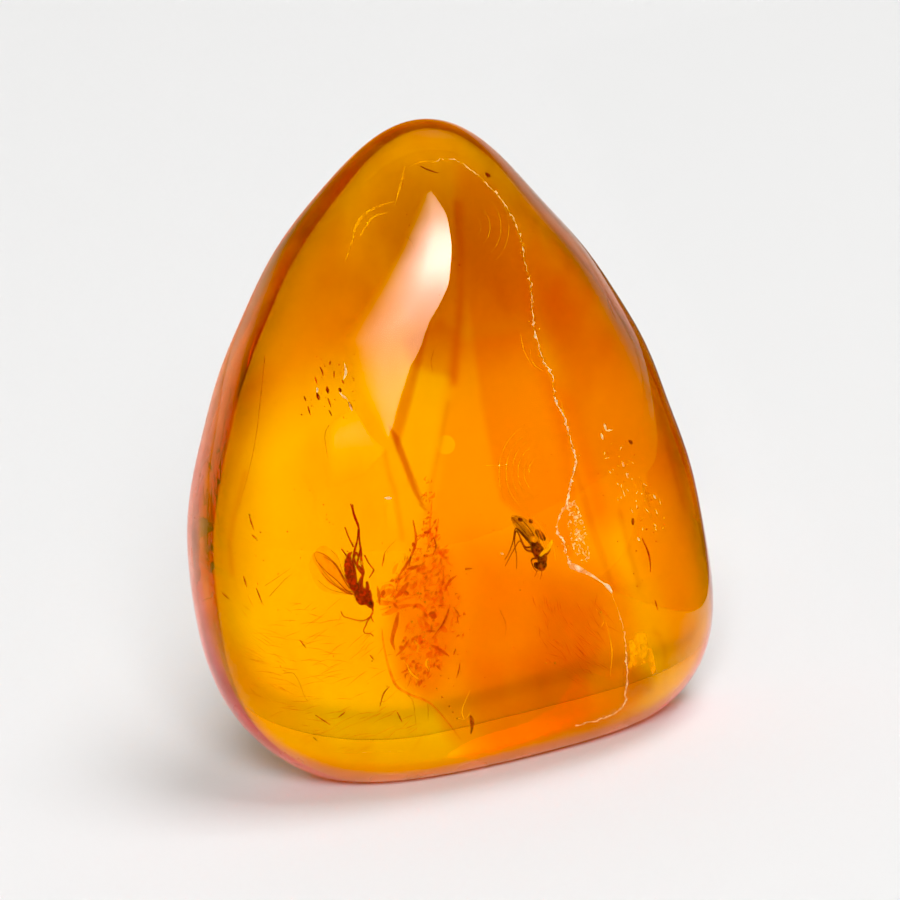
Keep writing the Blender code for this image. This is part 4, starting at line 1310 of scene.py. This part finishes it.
# %% [markdown]
# ## The studio
# The stone stands on a plain pale floor under an even pale sky. A lamp on the right, high up, throws the
# soft shadow to the left; one in front and a wide one overhead lift the shadows. Three glowing cards are
# there for the polish to mirror: a curved one in front makes the long highlight, two small ones stand for
# windows. Their outlines are directions seen from the stone, turn and lift in degrees. The sky gets dimmer
# higher up, because a clear stone takes its dark edges from what stands around it.
# %% Studio values
FLOOR_HALF, FLOOR_DROP = 6.0, 0.02 * MM                       # half its size, and how far under the stone
FLOOR_TONE, FLOOR_SHEEN = 0.80, 0.2
SKY = ((-1, 1), (0.02, 1), (0.18, 0.93), (0.36, 0.36), (0.6, 0.1), (1, 0.07))     # height -1 to 1, tone
SKY_STRENGTH = 0.96
SKY_FRONT, SKY_FRONT_ENDS = 0.5, (-0.75, -0.1)                # its share in front, and from where to where
POOL_SPOT, POOL_LAMP = (2.5, 28, 0), (2.5, 66, 90)            # millimetres
POOL_POWER, POOL_CONE, POOL_SIZE, POOL_COLOUR = 0.29, math.radians(19), 4 * MM, (1.0, 0.9, 0.7)
BLACK_LEVEL = (0.0, 0.02, 0.06)                               # the deepest tones are cooled a little
# name, turn from the front towards the right and lift in degrees, distance and size in metres, power in watts
LAMPS = (("key", 60, 68, 3.0, 1.4, 50), ("front_lamp", -2, 36, 3.0, 1.1, 69), ("fill", 0, 89, 2.6, 5.0, 12))
FLAG_EDGES = (24, 150, -30, 130)                              # near, far, front, back edge in millimetres
FLAG_LIFT = 0.05 * MM
FLAG_TONE, FLAG_WEAVE = (0.12, 0.12, 0.12, 1), (0.096, 0.096, 0.096, 1)
CARD_DISTANCE, CARD_ROWS, CARD_COLUMNS = 1.5, 40, 24
# name, left and right edge from below upwards, (height on the card, strength), fade-in share, colour
CARDS = (("front_box",
          ((-4.7, 21.5), (-21, 37), (-32, 46), (-24, 51), (-14, 57), (-6, 63), (8, 67)),
          ((-4.7, 21.5), (-1, 33), (3.7, 40), (15, 45), (23, 51), (28, 57), (21, 66)),
          ((0, 4), (0.3, 7), (0.45, 14), (0.58, 30), (0.7, 26), (0.82, 12), (1, 4)), 0.65, (1, 0.93, 0.96)),
         ("side_window", ((-25, 14), (-28, 22), (-26, 29)), ((-13, 15.6), (-5.2, 19), (-17, 30)),
          ((0.0, 0.2), (0.4, 1.8), (0.8, 3.4), (1.0, 1.2)), 0.25, (1, 0.9, 0.78)),
         ("low_window", ((-6.6, 4), (-6, 10)), ((-3.6, 4), (-4, 10)), ((0.0, 0.8), (1.0, 1.8)),
          0.3, (1, 0.9, 0.8)))

# %% [markdown]
# Each light and card is set by its direction from the stone. The lamps light the stone and the floor but
# aren't mirrored, and the cards are mirrored but light nothing dull, so each can be placed for its own task.
# %% Studio helpers
def toward(turn, lift):
    """Unit direction by turn from the front (-Y) towards +X and lift above the ground."""
    return np.stack([np.sin(turn) * np.cos(lift), -np.cos(turn) * np.cos(lift), np.sin(lift)], -1)


def lay_floor():
    corners = [(-FLOOR_HALF, -FLOOR_HALF, 0), (FLOOR_HALF, -FLOOR_HALF, 0), (FLOOR_HALF, FLOOR_HALF, 0),
               (-FLOOR_HALF, FLOOR_HALF, 0)]
    finish = Finish("pale_floor", {
        "Base Color": (FLOOR_TONE, FLOOR_TONE, FLOOR_TONE, 1), "Roughness": 0.7, "Specular IOR Level": 0.2,
        "Sheen Weight": FLOOR_SHEEN, "Sheen Roughness": 0.4})
    floor = mesh_object("floor", corners, [(0, 1, 2, 3)], finish.material)
    floor.location.z = -FLOOR_DROP


def light_sky():
    """The sky's tone goes by height, and its strength is less in front of the stone than behind it."""
    world = bpy.data.worlds.new("sky")
    world.use_nodes = True
    bpy.context.scene.world = world
    net = Net(world.node_tree)
    where = net.node("ShaderNodeTexCoord").output("Generated")
    split = net.node("ShaderNodeSeparateXYZ", {}, {0: where})
    height = net.node("ShaderNodeMapRange", {}, {"Value": split.output("Z"), "From Min": -1})
    tone = net.node("ShaderNodeValToRGB", {}, {0: height})
    stops = tone.socket.node.color_ramp.elements
    while len(stops) < len(SKY):
        stops.new(1.0)
    for stop, (level, grey) in zip(stops, SKY):
        stop.position = (level + 1) / 2
        stop.color = (grey, grey, grey, 1)
    background = net.tree.nodes["Background"].inputs
    net.set(background["Color"], tone)
    net.set(background["Strength"], split.output("Y").rise(*SKY_FRONT_ENDS, SKY_FRONT) * SKY_STRENGTH)


def hang(light, where, aim=(0, 0, 0)):
    """A light turned to a point; the stone doesn't mirror it."""
    lamp = bpy.data.objects.new(light.name, light)
    lamp.location = where
    lamp.rotation_euler = (Vector(where) - Vector(aim)).to_track_quat("Z", "Y").to_euler()
    lamp.visible_glossy = lamp.visible_transmission = False
    SCENE.objects.link(lamp)


def hang_lamp(name, turn, lift, distance, size, power):
    """A square lamp turned to the foot of the stone."""
    light = bpy.data.lights.new(name, "AREA")
    light.size, light.energy = size, power
    hang(light, Vector(toward(*np.radians([turn, lift]))) * distance)


def lay_flag():
    """A dark cloth on the floor at the right; only mirror images show it, so the right edge stays deep."""
    near, far, front, back = (edge * MM for edge in FLAG_EDGES)
    grid = np.array([[(near, front, FLAG_LIFT), (far, front, FLAG_LIFT)],
                     [(near, back, FLAG_LIFT), (far, back, FLAG_LIFT)]])
    finish = Finish("dark_cloth", {"Roughness": 1.0})
    weave = finish.noise(900).rise(0.3, 0.7)
    flag = mesh_object("flag", *grid_mesh(grid, False, False),
                       finish.feed(Base_Color=finish.blend(weave, FLAG_TONE, FLAG_WEAVE)))
    flag.visible_camera = flag.visible_diffuse = flag.visible_transmission = flag.visible_shadow = False


def light_pool():
    """A small lamp behind the stone makes the pool of light that a clear stone gathers behind itself."""
    light = bpy.data.lights.new("pool", "SPOT")
    light.energy, light.shadow_soft_size, light.color = POOL_POWER, POOL_SIZE, POOL_COLOUR
    light.spot_size, light.spot_blend = POOL_CONE, 1.0
    hang(light, Vector(POOL_LAMP) * MM, Vector(POOL_SPOT) * MM)


def hang_card(name, left_edge, right_edge, glow, fade, tone):
    """A curved card between its left and right edge; its glow fades in from the left over a share of it.

    point = (1 - share) * left + share * right, both in degrees, set as a direction at CARD_DISTANCE.
    """
    height = np.linspace(0, 1, CARD_ROWS)
    left, right = (np.stack([spread_evenly(angles, CARD_ROWS) for angles in zip(*edge)], -1)
                   for edge in (left_edge, right_edge))
    share = np.linspace(0, 1, CARD_COLUMNS)[None, :, None]
    angles = np.radians(left[:, None] * (1 - share) + right[:, None] * share)
    grid = toward(angles[..., 0], angles[..., 1]) * CARD_DISTANCE + np.array(CAMERA_AIM)
    strength = np.interp(height, *zip(*glow))[:, None, None] * np.clip(share / fade, 0, 1) ** 1.5
    finish = Finish(name, {"Base Color": (0, 0, 0, 1), "Emission Strength": 1.0})
    card = mesh_object(name, *grid_mesh(grid, False, False),
                       finish.feed(Emission_Color=finish.attribute("glow")))
    paint_points(card, "glow", strength * tone)
    card.visible_diffuse = card.visible_shadow = False

# %% [markdown]
# The floor and the sky come first, then the lamps, the cloth and the cards.
# %% Studio
lay_floor()
light_sky()
for lamp in LAMPS:
    hang_lamp(*lamp)
lay_flag()
light_pool()
for card in CARDS:
    hang_card(*card)
print("lamps", [lamp[0] for lamp in LAMPS], "cards", [card[0] for card in CARDS])

# %% [markdown]
# ## Exposure and bounces
# The picture keeps its tones as they are, apart from a slightly cool black. Light crosses many faces and
# films in the stone, so it may bounce often there, and only twice between dull things.
# %% Exposure and bounces
BOUNCES, DULL_BOUNCES, NOISE_LIMIT = 14, 2, 0.08
view, cycles = bpy.context.scene.view_settings, bpy.context.scene.cycles
view.view_transform = "Standard"
view.use_curve_mapping = True
view.curve_mapping.black_level = BLACK_LEVEL
view.curve_mapping.update()
cycles.max_bounces = cycles.transmission_bounces = BOUNCES
cycles.diffuse_bounces = DULL_BOUNCES
cycles.use_denoising = True
cycles.adaptive_threshold = NOISE_LIMIT
print("bounces", BOUNCES)
